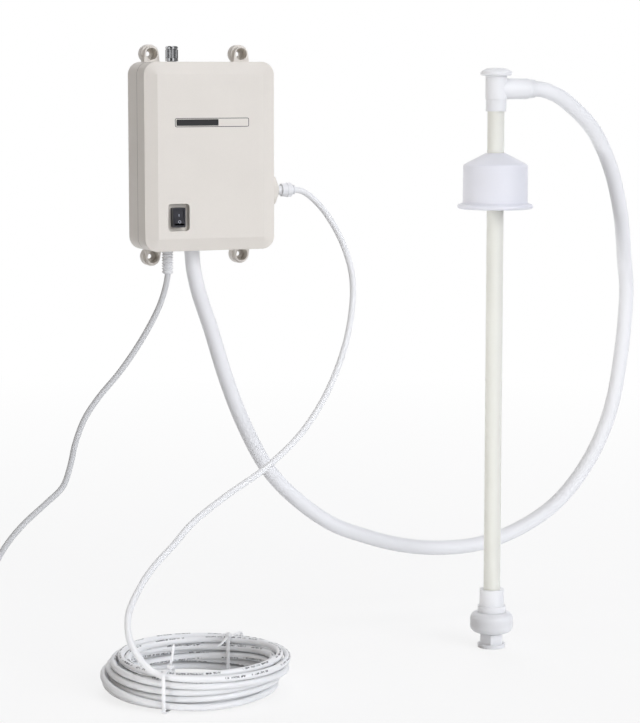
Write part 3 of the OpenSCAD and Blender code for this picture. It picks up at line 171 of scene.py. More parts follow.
def moulded(name, colour, rough, grain=0.10, grain_size=0.5, mottle=0.03, wear=0.25, painted_corner_shade=0.12, soft=0.0,
            depth=4.0, edge=0.8, seam=None):
    """Moulded plastic: uneven tint, fine grain, paler worn edges, painted shade in the corners and, where a
    seam is given, a painted shadow along it. Sizes in mm.
    """
    material, tree, shader = blank_material(name)
    where = node(tree, "ShaderNodeTexCoord").outputs["Object"]
    cloud = spread(tree, noise(tree, where, 22.0), 0.3, 0.7, 0.0, 1.0)
    darker = scaled(colour, 1 - mottle)
    paler = scaled(colour, 1 + mottle)
    tint = mixed(tree, cloud, darker, paler)
    fleck = spread(tree, noise(tree, where, 900.0, 2.0), 0.35, 0.65, 0.0, 1.0)
    tint = mixed(tree, 0.35, tint, mixed(tree, fleck, darker, paler))
    # Painted shade: the colour darkens where ambient occlusion finds corners, creases and parts close
    # together.
    shade = node(tree, "ShaderNodeAmbientOcclusion", {"Distance": 0.006}, samples=6).outputs["AO"]
    corner_shade_amount = spread(tree, shade, 0.35, 0.95, painted_corner_shade, 0.0)
    tint = mixed(tree, corner_shade_amount, tint, scaled(colour, 0.55))
    if wear:
        patch = spread(tree, noise(tree, where, 160.0), 0.4, 0.65, 0.2 * wear, wear)
        amount = maths(tree, "MULTIPLY", edge_mask(tree, edge * MM), patch)
        tint = mixed(tree, amount, tint, scaled(colour, 1.12))
    # Painted shadow: the colour darkens along the parting line, as if the gap between the shells were in
    # shade.
    if seam:
        tint = mixed(tree, seam_shadow_mask(tree, where, *seam), tint, scaled(colour, 0.30))
    tree.links.new(tint, shader.inputs["Base Color"])
    smear = noise(tree, where, 60.0, 4.0)
    tree.links.new(spread(tree, smear, 0.3, 0.7, 0.93 * rough, 1.1 * rough), shader.inputs["Roughness"])
    if soft:
        shader.inputs["Subsurface Weight"].default_value = soft
        shader.inputs["Subsurface Radius"].default_value = (1.0, 0.97, 0.94)
        shader.inputs["Subsurface Scale"].default_value = depth * MM
    height = noise(tree, where, 1000.0 / grain_size, 2.0)
    bump = node(tree, "ShaderNodeBump", {"Strength": grain, "Distance": 0.0002, "Height": height})
    if edge:
        rounded = node(tree, "ShaderNodeBevel", {"Radius": 0.5 * edge * MM}, samples=6)
        tree.links.new(rounded.outputs[0], bump.inputs["Normal"])
    tree.links.new(bump.outputs[0], shader.inputs["Normal"])
    return material


def metal(name, colour, rough, brush=(1.0, 1.0, 1.0), brush_scale=900.0, grain=0.12, tarnish=0.15, painted_crevice_shade=0.3):
    """Metal with a machined or brushed surface and painted shade in its crevices; brush stretches the
    scratches along an axis.
    """
    material, tree, shader = blank_material(name)
    where = node(tree, "ShaderNodeTexCoord").outputs["Object"]
    shader.inputs["Metallic"].default_value = 1.0
    drawn = node(tree, "ShaderNodeMapping", {"Vector": where, "Scale": brush}).outputs[0]
    lines = noise(tree, drawn, brush_scale, 3.0)
    cloud = spread(tree, noise(tree, where, 120.0), 0.35, 0.7, 0.0, 1.0)
    tint = mixed(tree, cloud, colour, scaled(colour, 1 - tarnish))
    tint = mixed(tree, spread(tree, lines, 0.35, 0.65, 0.0, 0.35), tint, scaled(colour, 0.82))
    # Painted shade: the colour darkens where ambient occlusion finds grooves, such as the knob's flutes.
    shade = node(tree, "ShaderNodeAmbientOcclusion", {"Distance": 0.001}, samples=6).outputs["AO"]
    tint = mixed(tree, spread(tree, shade, 0.4, 0.95, painted_crevice_shade, 0.0), tint, scaled(colour, 0.10))
    tree.links.new(tint, shader.inputs["Base Color"])
    tree.links.new(spread(tree, lines, 0.3, 0.7, 0.75 * rough, 1.35 * rough), shader.inputs["Roughness"])
    rounded = node(tree, "ShaderNodeBevel", {"Radius": 0.25 * MM}, samples=6).outputs[0]
    bump = node(
        tree, "ShaderNodeBump", {"Strength": grain, "Distance": 0.0001, "Height": lines, "Normal": rounded}
    )
    tree.links.new(bump.outputs[0], shader.inputs["Normal"])
    return material


def printed_tube(name, colour, ink):
    """Tube, milkier in its coil, with a line of ink specks that winds round it.

    The UVs run in metres along it and in turns round it.
    """
    material = moulded(
        name, colour, 0.45, grain=0.02, grain_size=2.0, mottle=0.008, wear=0.0, painted_corner_shade=0.0, soft=MILK,
        depth=6.0, edge=0,
    )
    tree = material.node_tree
    shader = next(n for n in tree.nodes if n.type == "BSDF_PRINCIPLED")
    plain = shader.inputs["Base Color"].links[0].from_socket
    uv = node(tree, "ShaderNodeUVMap", uv_map="along")
    parts = node(tree, "ShaderNodeSeparateXYZ", {0: uv.outputs[0]})
    along, turn = parts.outputs[0], parts.outputs[1]
    tree.links.new(spread(tree, along, *MILKY_FROM, 0.0, MILK), shader.inputs["Subsurface Weight"])
    stroke = node(tree, "ShaderNodeCombineXYZ", {"X": along}).outputs[0]
    off_line = maths(tree, "SUBTRACT", turn, spread(tree, along, *PRINT_FROM, *PRINT_TURN))
    spot = node(tree, "ShaderNodeCombineXYZ", {"X": along, "Y": off_line})
    grid = node(tree, "ShaderNodeVectorMath", {0: spot.outputs[0], 1: PRINT_SPOT}, operation="SNAP")
    specks = node(tree, "ShaderNodeTexWhiteNoise", {"Vector": grid.outputs[0]}, noise_dimensions="2D")
    gates = (
        ("GREATER_THAN", specks.outputs[0], 0.42),
        ("GREATER_THAN", noise(tree, stroke, 300.0, 0.0), 0.42),
        ("GREATER_THAN", noise(tree, stroke, 38.0, 0.0), 0.45),
        ("GREATER_THAN", along, PRINT_FROM[0]),
        ("LESS_THAN", maths(tree, "ABSOLUTE", off_line), PRINT_HALF),
    )
    mark = 1.0
    for gate in gates:
        mark = maths(tree, "MULTIPLY", mark, maths(tree, *gate))
    tree.links.new(mixed(tree, mark, plain, ink), shader.inputs["Base Color"])
    return material


# Ink on the delivery tube: where it runs along the tube, its turn at both ends, one speck and half the line
PRINT_FROM = (0.72, 6.08)
PRINT_TURN = (0.60, 0.0)
PRINT_SPOT = (0.0006, 0.03, 1.0)
PRINT_HALF = 0.045

# Where the tube grows milky, and how much
MILKY_FROM = (0.50, 0.72)
MILK = 0.8

# Painted shadow along the parting line of the case: where it lies from front to back, and half its width
CASE_SEAM_SHADOW = (-29.7 * MM, 0.6 * MM)

MATERIALS = {
    "case_beige": moulded(
        "case_beige", linear(226, 221, 213), 0.42, grain=0.10, grain_size=0.6, mottle=0.02, wear=0.35,
        edge=1.6, seam=CASE_SEAM_SHADOW,
    ),
    "steel": metal("steel", linear(200, 202, 205), 0.30),
    "switch_black": moulded(
        "switch_black", linear(36, 36, 46), 0.30, grain=0.06, grain_size=0.3, mottle=0.10, wear=0.18,
        painted_corner_shade=0.05,
    ),
    "brass": metal("brass", linear(205, 172, 98), 0.28),
    # Knob: strong painted shade in the flutes between its ridges.
    "knob_metal": metal("knob_metal", linear(206, 207, 210), 0.07, (1, 1, 14), 1100.0, 0.02, 0.10, painted_crevice_shade=0.6),
    "dark_plastic": moulded("dark_plastic", linear(44, 44, 48), 0.5, mottle=0.10),
    "board_green": moulded("board_green", linear(38, 98, 58), 0.4, mottle=0.12, grain=0.2, grain_size=1.2),
    "rubber_black": moulded("rubber_black", linear(38, 38, 38), 0.65, grain=0.2, mottle=0.10),
    "rubber_white": moulded("rubber_white", linear(238, 238, 235), 0.5, grain=0.12, soft=0.1),
    "hose_white": moulded(
        "hose_white", linear(236, 237, 239), 0.40, grain=0.02, grain_size=2.0, mottle=0.008, wear=0.0,
        painted_corner_shade=0.0, edge=0,
    ),
    "tube_white": moulded(
        "tube_white", linear(246, 247, 248), 0.34, grain=0.02, mottle=0.02, wear=0.0, soft=0.8, depth=6.0,
        edge=0,
    ),
    "cream_plastic": moulded("cream_plastic", linear(230, 222, 200), 0.5),
    "white_plastic": moulded(
        "white_plastic", linear(234, 235, 237), 0.32, grain=0.06, mottle=0.008, wear=0.0, painted_corner_shade=0.06, soft=0.3,
        depth=6.0,
    ),
    "pipe_ivory": moulded(
        "pipe_ivory", linear(233, 233, 223), 0.30, grain=0.03, mottle=0.005, wear=0.0, painted_corner_shade=0.0, soft=0.4,
        depth=8.0, edge=0,
    ),
    "cap_white": moulded(
        "cap_white", linear(224, 225, 232), 0.31, grain=0.03, mottle=0.008, wear=0.0, painted_corner_shade=0.05, soft=0.3,
        depth=6.0, edge=0.6,
    ),
}
PRINTED_TUBE = printed_tube("printed_tube", linear(236, 237, 238), linear(70, 72, 76))
CORD_WHITE = moulded(
    "cord_white", linear(206, 207, 208), 0.5, grain=0.02, grain_size=2.0, mottle=0.008, wear=0.0, painted_corner_shade=0.0,
    edge=0,
)
MARK_GREY = moulded("mark_grey", linear(176, 180, 190), 0.45, mottle=0.06, wear=0.0, painted_corner_shade=0.0)
MARK_BLACK = moulded("mark_black", linear(30, 30, 32), 0.5, mottle=0.10, wear=0.0, painted_corner_shade=0.0)
NYLON = moulded("nylon", linear(240, 241, 242), 0.30, grain=0.05, wear=0.0, soft=0.6, depth=3.0, edge=0.3)

NODE_SLOTS = {part["node"]: part["material_slot"] for part in frame["record"]["subparts"]}


# Meshes

def piece(name, vertices, faces, body, slot, material=None, smooth=40):
    """New mesh piece that rides on a body and takes its finish from a slot of the record."""
    mesh = bpy.data.meshes.new(name)
    mesh.from_pydata([tuple(v) for v in vertices], [], faces)
    mesh.validate()
    made = bmesh.new()
    made.from_mesh(mesh)
    bmesh.ops.recalc_face_normals(made, faces=made.faces)
    made.to_mesh(mesh)
    made.free()
    mesh.polygons.foreach_set("use_smooth", [True] * len(mesh.polygons))
    mesh.set_sharp_from_angle(angle=math.radians(smooth))
    thing = bpy.data.objects.new(name, mesh)
    scene.collection.objects.link(thing)
    thing.data.materials.append(material or MATERIALS[slot])
    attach(thing, body)
    return thing


def between(a, b, c, d, t):
    """Point on the smooth curve from b to c, with a before and d after them."""
    square = 2 * a - 5 * b + 4 * c - d
    cube = 3 * b - a - 3 * c + d
    return 0.5 * (2 * b + (c - a) * t + square * t * t + cube * t ** 3)


def smooth_route(points, steps):
    last = len(points) - 1
    line = []
    for i in range(last):
        corner = (points[max(i - 1, 0)], points[i], points[i + 1], points[min(i + 2, last)])
        line += [between(*corner, j / steps) for j in range(steps)]
    return line + [points[last]]


def coil_way(angle):
    """0 at both ties, 1 half way round the back, -1 half way round the front."""
    come = (angle - TIE_ANGLES[1]) % 360
    back = TIE_ANGLES[0] - TIE_ANGLES[1]
    if come < back:
        return math.sin(math.pi * come / back)
    return -math.sin(math.pi * (come - back) / (360 - back))


def coil_line(centre, start, skip, turns, layers, pitch, rise, outer, ease, span, lead_in, lead,
              wave=0.0, lean=0.0, lift=0.0):
    """The stored coil: layers from the top down, wound in and out by turns, leaning between its ties."""
    total = turns * layers - skip
    count = math.ceil(total * COIL_STEPS)
    mid_r = outer - pitch * turns / 2
    mid_z = -rise * (layers - 1) / 2
    points = []
    for i in range(count + 1):
        turn = min(total * i / count, total - 0.0001)
        layer = math.floor((turn + skip) / turns)
        along = turn + skip - layer * turns
        radius = outer - pitch * (along if layer % 2 == 0 else turns - along)
        drop = 0
        for k in range(1, layers):
            s = min(max((turn + skip - k * turns) * 2 + 0.5, 0), 1)
            drop += s * s * (3 - 2 * s)
        angle = start + 360 * turn
        way = coil_way(angle)
        tilt = math.radians(lean * way)
        out = radius + wave * math.sin(math.radians(223 * turn + 40)) - mid_r
        up = -rise * drop - mid_z
        reach = mid_r + out * math.cos(tilt) - up * math.sin(tilt)
        height = mid_z + out * math.sin(tilt) + up * math.cos(tilt) + lift * way * way
        height += ease * max(1 - turn / span, 0) ** 2
        turned = math.radians(angle)
        points.append(centre + Vector((reach * math.cos(turned), reach * math.sin(turned), height)))
    first = (points[0] - points[1]).normalized()
    final = (points[-1] - points[-2]).normalized()
    start_lead = [points[0] + first * lead_in] if lead_in else []
    return start_lead + points + [points[-1] + final * lead]


def metres(points):
    return [Vector(p) * MM for p in points]


def tube(name, path, diameter, sides, slot, material=None, bore=0.0):
    """Tube along a path, with UVs in metres along it and in turns from its hidden side."""
    heading = []
    for i in range(len(path)):
        heading.append((path[min(i + 1, len(path) - 1)] - path[max(i - 1, 0)]).normalized())
    radius = diameter / 2
    vertices, length = [], [0.0]
    for i, point in enumerate(path):
        if i:
            length.append(length[-1] + (point - path[i - 1]).length)
        side = (heading[i] * SHOWN_SIDE.dot(heading[i]) - SHOWN_SIDE).normalized()
        other = heading[i].cross(side)
        for k in range(sides):
            turn = 2 * math.pi * k / sides
            vertices.append(point + radius * (math.cos(turn) * side + math.sin(turn) * other))
    faces = []
    for i in range(len(path) - 1):
        for k in range(sides):
            n = (k + 1) % sides
            faces.append((i * sides + k, i * sides + n, (i + 1) * sides + n, (i + 1) * sides + k))
    faces.append(tuple(range(sides))[::-1])
    last = (len(path) - 1) * sides
    if bore:
        inward = path[-2] - path[-1]
        inward = inward.normalized() * 3 * diameter
        ring = [path[-1] + (v - path[-1]) * bore / diameter for v in vertices[last:]]
        rim = len(vertices)
        vertices += ring + [v + inward for v in ring]
        for k in range(sides):
            n = (k + 1) % sides
            faces.append((last + k, last + n, rim + n, rim + k))
            faces.append((rim + k, rim + n, rim + sides + n, rim + sides + k))
        faces.append(tuple(rim + sides + k for k in range(sides)))
    else:
        faces.append(tuple(last + k for k in range(sides)))
    thing = piece(name, vertices, faces, "pump", slot, material)
    layer = thing.data.uv_layers.new(name="along")
    for face in thing.data.polygons:
        places = [v % sides for v in face.vertices]
        round_end = min(places) == 0 and max(places) == sides - 1
        for index in face.loop_indices:
            vertex = thing.data.loops[index].vertex_index
            ring = min(vertex // sides, len(path) - 1)
            turn = (vertex % sides) / sides
            if round_end and turn == 0:
                turn = 1.0
            layer.data[index].uv = (length[ring], turn)
    return thing


# Cords, on the routes of the solids

POWER_D = 6 * MM
TUBE_D = 6.35 * MM
TUBE_BORE = 4.3 * MM
HOSE_D = 15.5 * MM
CORD_SIDES = 18
HOSE_SIDES = 32
ROUTE_STEPS = 6
COIL_STEPS = 48
LEAD_COIL_MIDDLE = (-280, -75)
TUBE_COIL_MIDDLE = (-77, -212)
TIE_ANGLES = (231, 40)
LEAD_TIE_ANGLE = 300
POWER_ROUTE = metres([
    (-34, -18, -89.5), (-34, -18, -105), (-34, -18, -121), (-39, -19, -140), (-48, -20, -160),
    (-65, -20, -188), (-86, -20, -216), (-108, -20, -240), (-124, -20, -262), (-134, -20, -286),
    (-140, -20, -310), (-148, -20, -330), (-166, -20, -346), (-188, -20, -364), (-205, -20, -382),
    (-218, -20, -402), (-229, -21, -426), (-241, -24, -443), (-254, -27, -456),
])
TUBE_ROUTE = metres([
    (85, -40.5, -35.5), (95.5, -40.5, -35.5), (105, -41, -37.5), (116, -44.5, -46), (128, -53, -63),
    (139, -65, -90), (144, -77, -121), (139, -89, -154), (125, -101, -194), (100, -114, -237),
    (67, -126, -274), (25, -137, -304), (-20, -149, -326), (-60, -163, -347), (-86, -178, -365),
    (-104, -187, -377), (-120, -197, -389), (-133, -208, -401), (-144, -219, -413), (-150, -229, -424),
    (-152, -239, -436),
])
HOSE_ROUTE = metres([
    (-8, -19, -68), (-8, -19, -82), (-8, -19, -97), (-6, -19, -117), (0, -19, -142), (12, -20, -178),
    (28, -20, -229), (48, -20, -279), (74, -20, -326), (106, -20, -360), (144, -20, -388),
    (181, -20, -404), (226, -20, -418), (273, -20, -425), (321, -20, -424), (368, -21, -411),
    (412, -26, -384), (446, -34, -340), (466, -45, -285), (472, -57, -220), (470, -70, -155),
    (458, -85, -114), (441, -105, -64), (416, -126, -15), (384, -144, 26), (345, -159, 54),
    (323, -164, 64), (306, -165, 67.2), (285, -165, 67.2),
])
POWER_COIL = coil_line(
    Vector((*LEAD_COIL_MIDDLE, -489.3)) * MM, start=90, skip=0, turns=3.125, layers=2, pitch=6.7 * MM,
    rise=6.6 * MM, outer=43.46875 * MM, ease=9 * MM, span=0.085, lead_in=12 * MM, lead=12 * MM,
)
TUBE_COIL = coil_line(
    Vector((*TUBE_COIL_MIDDLE, -466.325)) * MM, start=206, skip=0.2, turns=2.3, layers=5, pitch=7.9 * MM,
    rise=7.3 * MM, outer=85.825 * MM, ease=19 * MM, span=0.072, lead_in=0, lead=6.35 * MM,
    wave=0.5 * MM, lean=28, lift=3.2 * MM,
)


def with_coil(route, coil):
    """The route, run on smoothly into the coil."""
    return smooth_route(route + coil[:2], ROUTE_STEPS)[:-ROUTE_STEPS - 1] + coil


POWER_PATH = with_coil(POWER_ROUTE, POWER_COIL)
TUBE_PATH = with_coil(TUBE_ROUTE, TUBE_COIL)
HOSE_PATH = smooth_route(HOSE_ROUTE, ROUTE_STEPS)


def add_cords(plug, tube_ties, lead_tie):
    power = tube("power_lead", POWER_PATH, POWER_D, CORD_SIDES, "hose_white", CORD_WHITE)
    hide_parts("power_cord", "power_cord_coil")
    delivery = tube("delivery_tube", TUBE_PATH, TUBE_D, CORD_SIDES, "tube_white", PRINTED_TUBE, TUBE_BORE)
    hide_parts("outlet_tube", "outlet_coil")
    hose = tube("suction_line", HOSE_PATH, HOSE_D, HOSE_SIDES, "hose_white")
    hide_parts("suction_hose")


# Printed marks

def surface(name, origin, direction):
    """Point and normal where a line first meets a CAD node."""
    mesh = frame["nodes"][name].data
    tree = BVHTree.FromPolygons([v.co for v in mesh.vertices], [tuple(p.vertices) for p in mesh.polygons])
    place, normal, _, _ = tree.ray_cast(Vector(origin), Vector(direction))
    return place, normal


def rounded(width, height, radius, middle=(0.0, 0.0), steps=6):
    line = []
    for corner in range(4):
        x = (width / 2 - radius) * (1 if corner in (0, 3) else -1)
        y = (height / 2 - radius) * (1 if corner < 2 else -1)
        for i in range(steps + 1):
            turn = math.radians(90 * (corner + i / steps))
            line.append((middle[0] + x + radius * math.cos(turn), middle[1] + y + radius * math.sin(turn)))
    return line


# How far printed shapes reach into what carries them, and stand out of it
FILM_LEVELS = (-0.08 * MM, 0.05 * MM)


def film(shapes, place, normal, up):
    """Thin printed shapes on a flat spot: each is an outline and its hole or None, in metres."""
    across = up.cross(normal).normalized()
    rise = normal.cross(across)
    vertices, faces = [], []
    for outline, hole in shapes:
        rings = [outline] if hole is None else [outline, hole]
        first = len(vertices)
        count = len(outline)
        for level in FILM_LEVELS:
            for ring in rings:
                vertices += [place + across * x + rise * y + normal * level for x, y in ring]
        top = first + count * len(rings)
        if hole is None:
            faces.append(tuple(range(first, first + count))[::-1])
            faces.append(tuple(range(top, top + count)))
        for k in range(count):
            n = (k + 1) % count
            faces.append((first + k, first + n, top + n, top + k))
            if hole is not None:
                faces.append((first + count + n, first + count + k, top + count + k, top + count + n))
                faces.append((top + k, top + n, top + count + n, top + count + k))
                faces.append((first + n, first + k, first + count + k, first + count + n))
    return vertices, faces


def joined(parts):
    vertices, faces = [], []
    for more, sides in parts:
        faces += [tuple(index + len(vertices) for index in side) for side in sides]
        vertices += more
    return vertices, faces


def add_marks():
    back = Vector((0, 1, 0))
    place, normal = surface("front_cover", (0.0008, -0.2, 0.034), back)
    strip = [
        (rounded(78.6 * MM, 8.9 * MM, 1.8 * MM), rounded(77.4 * MM, 7.7 * MM, 1.2 * MM)),
        (rounded(44.4 * MM, 6.3 * MM, 0.5 * MM, (-15.5 * MM, 0.0)), None),
    ]
    piece("front_strip", *film(strip, place, normal, UP), "pump", "switch_black", MARK_BLACK)
    on_place, on_normal = surface("switch_rocker", (-0.035, -0.2, -0.0578), back)
    off_place, off_normal = surface("switch_rocker", (-0.035, -0.2, -0.0642), back)
    bar = [(rounded(0.6 * MM, 2.6 * MM, 0.25 * MM), None)]
    ring = [(rounded(3.2 * MM, 3.2 * MM, 1.599 * MM), rounded(2.1 * MM, 2.1 * MM, 1.049 * MM))]
    marks = joined([film(bar, on_place, on_normal, UP), film(ring, off_place, off_normal, UP)])
    piece("rocker_marks", *marks, "rocker", "switch_black", MARK_GREY)
    top, upward = surface("flow_knob", (-0.030, -0.0275, 0.2), (0, 0, -1))
    line = [(rounded(0.9 * MM, 4.6 * MM, 0.3 * MM), None)]
    piece("knob_pointer", *film(line, top, upward, back), "knob", "switch_black", MARK_BLACK)


# Ties, plug and strain relief

def ribbon(path, across, profile, closed):
    """Band along a flat path; the profile gives (outward, sideways) points."""
    vertices, faces = [], []
    count, size = len(path), len(profile)
    for i, point in enumerate(path):
        ahead = path[(i + 1) % count] if closed or i + 1 < count else point
        behind = path[i - 1] if closed or i else point
        out = (ahead - behind).normalized().cross(across)
        vertices += [point + out * a + across * b for a, b in profile]
    for i in range(count if closed else count - 1):
        n = (i + 1) % count
        for k in range(size):
            m = (k + 1) % size
            faces.append((i * size + k, i * size + m, n * size + m, n * size + k))
    if not closed:
        faces.append(tuple(range(size)))
        faces.append(tuple(range((count - 1) * size, count * size))[::-1])
    return vertices, faces


def soft_box(size, chamfer):
    """Block with chamfered edges round its middle."""
    made = bmesh.new()
    bmesh.ops.create_cube(made, size=1.0, matrix=Matrix.Diagonal((*size, 1.0)))
    bmesh.ops.bevel(
        made, geom=list(made.edges), offset=chamfer, offset_type="OFFSET", segments=3, profile=0.5,
        affect="EDGES",
    )
    made.verts.index_update()
    vertices = [v.co.copy() for v in made.verts]
    faces = [tuple(v.index for v in face.verts) for face in made.faces]
    made.free()
    return vertices, faces


# Bundles that the ties hold: inner radius, outer radius and height in mm
TUBE_BUNDLE = (63.68, 89.8, 36.3)
LEAD_BUNDLE = (19.53, 46.47, 12.6)


def tie(centre, angle, bundle, head_in, tail):
    """Cable tie round a bundle: strap, lock head with its ridges, and cut tail. Sizes in mm."""
    inner, outer, height = bundle
    turned = math.radians(angle)
    out = Vector((math.cos(turned), math.sin(turned), 0))
    side = Vector((-math.sin(turned), math.cos(turned), 0))
    thick = 1.0
    wide = 3.6
    room = 0.1
    tail_length = 22.0
    w = outer - inner + 2 * room
    h = height + 2 * room
    foot = Vector((*centre, FLOOR_Z / MM))

    def place(r, t, z):
        return (foot + out * r + side * t + UP * z) * MM

    middle = ((inner + outer) / 2, thick + h / 2)
    line = [place(x, 0, z) for x, z in rounded(w + thick, h + thick, 2.5, middle, 5)]
    strap = [(x * MM, y * MM) for x, y in rounded(thick, wide, 0.3, steps=2)]
    parts = [ribbon(line, side, strap, True)]
    top = 2 * thick + h
    corner = Matrix((out, side, UP)).transposed()
    block, sides = soft_box((5.0 * MM, 5.0 * MM, 3.6 * MM), 0.7 * MM)
    parts.append(([place(inner + head_in, 0, top + 1.6) + corner @ v for v in block], sides))
    for r in (-1.2, 1.2):
        block, sides = soft_box((0.7 * MM, 3.0 * MM, 0.8 * MM), 0.2 * MM)
        parts.append(([place(inner + head_in + r, 0, top + 3.5) + corner @ v for v in block], sides))
    lean = math.radians(tail)
    count = 44
    pointed = 8
    for_tail = []
    for i in range(count + 1):
        along = tail_length * i / count
        bow = 0.9 * math.sin(math.pi * i / count)
        r = inner + head_in + along * math.cos(lean) - bow * math.sin(lean)
        for_tail.append(place(r, 0, top + 1.6 + along * math.sin(lean) + bow * math.cos(lean)))
    band = [(x * MM, y * MM) for x, y in rounded(0.9, 2.6, 0.25, steps=2)]
    vertices, faces = ribbon(for_tail, side, band, False)
    size = len(band)
    for i in range(count + 1):
        narrow = 1.0 - 0.45 * max(i - count + pointed, 0) / pointed
        tooth = 1.0 if i % 2 else 0.82
        for k in range(size):
            off = vertices[i * size + k] - for_tail[i]
            flat = side * off.dot(side)
            vertices[i * size + k] = for_tail[i] + flat * narrow + (off - flat) * tooth
    parts.append((vertices, faces))
    return joined(parts)


def add_ties():
    parts = [
        tie(TUBE_COIL_MIDDLE, TIE_ANGLES[0], TUBE_BUNDLE, head_in=8, tail=120),
        tie(TUBE_COIL_MIDDLE, TIE_ANGLES[1], TUBE_BUNDLE, head_in=0, tail=200),
    ]
    tube_ties = piece("tube_ties", *joined(parts), "pump", "white_plastic", NYLON)
    on_lead = tie(LEAD_COIL_MIDDLE, LEAD_TIE_ANGLE, LEAD_BUNDLE, head_in=0, tail=120)
    lead_tie = piece("lead_tie", *on_lead, "pump", "white_plastic", NYLON)
    for made in (tube_ties, lead_tie):
        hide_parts("cord_ties")
    return tube_ties, lead_tie


def turned_piece(name, profile, centre, body, slot):
    """Piece turned about an upright axis; the profile is a closed loop of (radius, height) in mm."""
    vertices, faces = [], []
    sides = 64
    size = len(profile)
    for i in range(sides):
        turn = 2 * math.pi * i / sides
        for r, z in profile:
            x = centre[0] + r * math.cos(turn)
            y = centre[1] + r * math.sin(turn)
            vertices.append(Vector((x, y, z)) * MM)
    for i in range(sides):
        n = (i + 1) % sides
        for k in range(size):
            m = (k + 1) % size
            faces.append((i * size + k, n * size + k, n * size + m, i * size + m))
    return piece(name, vertices, faces, body, slot)


def add_relief():
    """Ribbed strain relief, clipped into the floor of the case."""
    outside = [(6.35, -89.5), (6.35, -91.5), (4.75, -91.5), (4.75, -93.9)]
    outside += [(5.6, -94.0), (5.85, -94.4), (5.85, -97.4)]
    rib = ((5.5, 0), (4.75, 0.45), (4.6, 0.8), (4.75, 1.15), (5.55, 1.5), (5.8, 1.85), (5.8, 2.35))
    top = -97.8
    for _ in range(7):
        outside += [(r, top - down) for r, down in rib]
        top -= 2.8
    outside += [(5.3, -117.9), (4.6, -118.8), (4.2, -119.0), (3.1, -119.0), (3.1, -89.5)]
    relief = turned_piece("cord_relief", outside, (-34, -18), "pump", "white_plastic")
    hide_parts("strain_relief")


def add_plug():
    """Moulded plug on the floor at the end of the lead, with grip grooves and a ribbed tail."""
    start = POWER_PATH[-1] / MM
    heading = POWER_PATH[-1] - POWER_PATH[-2]
    heading = Vector((heading.x, heading.y, 0)).normalized()
    side = UP.cross(heading)
    # Along the plug, and the width, height and corner radius there, in mm
    stations = [(0.0, 8.0, 8.0, 3.95)]
    for i in range(5):
        along = 1.2 + 2.6 * i
        thick = 8.0 + 0.9 * i
        stations += [(along, thick, thick, thick / 2 - 0.05), (along + 1.0, thick, thick, thick / 2 - 0.05)]
        stations += [(along + 1.3, thick - 1.2, thick - 1.2, thick / 2 - 0.65)]
        stations += [(along + 2.2, thick - 1.0, thick - 1.0, thick / 2 - 0.55)]
    stations += [(14.6, 13.0, 12.0, 5.9), (15.6, 18.0, 14.0, 5.5), (16.6, 21.6, 15.8, 4.8)]
    full = (24.0, 17.0, 4.0)
    groove = (22.8, 17.0, 4.0)
    stations += [(18.0, 23.4, 16.7, 4.2), (19.5, *full), (23.0, *full)]
    for i in range(4):
        along = 24.0 + 3.2 * i
        stations += [(along, *full), (along + 0.5, *groove), (along + 1.3, *groove), (along + 1.8, *full)]
    stations += [(42.6, *full), (43.6, 23.4, 16.4, 3.8), (44.0, 22.2, 15.2, 3.4)]
    floor_z = FLOOR_Z / MM
    tail_z = start.z
    body_z = floor_z + full[1] / 2
    vertices, faces = [], []
    size = 0
    for along, wide, high, corner in stations:
        t = min(max(along / 16.0, 0.0), 1.0)
        middle = start + heading * along
        middle.z = tail_z + (body_z - tail_z) * t * t * (3 - 2 * t)
        middle.z = max(middle.z, floor_z + high / 2)
        ring = rounded(wide, high, min(corner, wide / 2 - 0.01, high / 2 - 0.01), steps=8)
        size = len(ring)
        vertices += [(middle + side * x + UP * y) * MM for x, y in ring]
    for i in range(len(stations) - 1):
        for k in range(size):
            m = (k + 1) % size
            faces.append((i * size + k, i * size + m, (i + 1) * size + m, (i + 1) * size + k))
    faces.append(tuple(range(size))[::-1])
    faces.append(tuple(range((len(stations) - 1) * size, len(stations) * size)))
    plug = piece("moulded_plug", vertices, faces, "pump", "white_plastic", smooth=50)
    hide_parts("power_plug")
    return plug


# Stage

FLOOR_SIZE = 30
FLOOR_GAP = 0.4 * MM
FLOOR_PAINT = (0.9, 0.9, 0.9, 1)
# The floor near the object and far off: the distances, and how much of it is plain white there
FLOOR_FADE = (0.6, 2.2, 0.80, 1.0)


def add_floor():
    corners = [(x * FLOOR_SIZE, y * FLOOR_SIZE, FLOOR_Z) for x, y in ((-1, -1), (1, -1), (1, 1), (-1, 1))]
    mesh = bpy.data.meshes.new("floor")
    mesh.from_pydata(corners, [], [(0, 1, 2, 3)])
    floor = bpy.data.objects.new("floor", mesh)
    floor.location.z = -FLOOR_GAP
    scene.collection.objects.link(floor)
    material = bpy.data.materials.new("floor_white")
    material.use_nodes = True
    tree = material.node_tree
    tree.nodes.clear()
    where = node(tree, "ShaderNodeTexCoord").outputs["Object"]
    far = node(tree, "ShaderNodeVectorMath", {0: where}, operation="LENGTH").outputs["Value"]
    fade = spread(tree, far, *FLOOR_FADE)
    path = node(tree, "ShaderNodeLightPath")
    amount = maths(tree, "MULTIPLY", seen_directly(tree, path), fade)
    paint = node(tree, "ShaderNodeBsdfDiffuse", {"Color": FLOOR_PAINT})
    glow = node(tree, "ShaderNodeEmission", {"Color": (1, 1, 1, 1), "Strength": 1.0})
    blend = node(tree, "ShaderNodeMixShader", {0: amount, 1: paint.outputs[0], 2: glow.outputs[0]})
    out = node(tree, "ShaderNodeOutputMaterial")
    tree.links.new(blend.outputs[0], out.inputs["Surface"])
    mesh.materials.append(material)


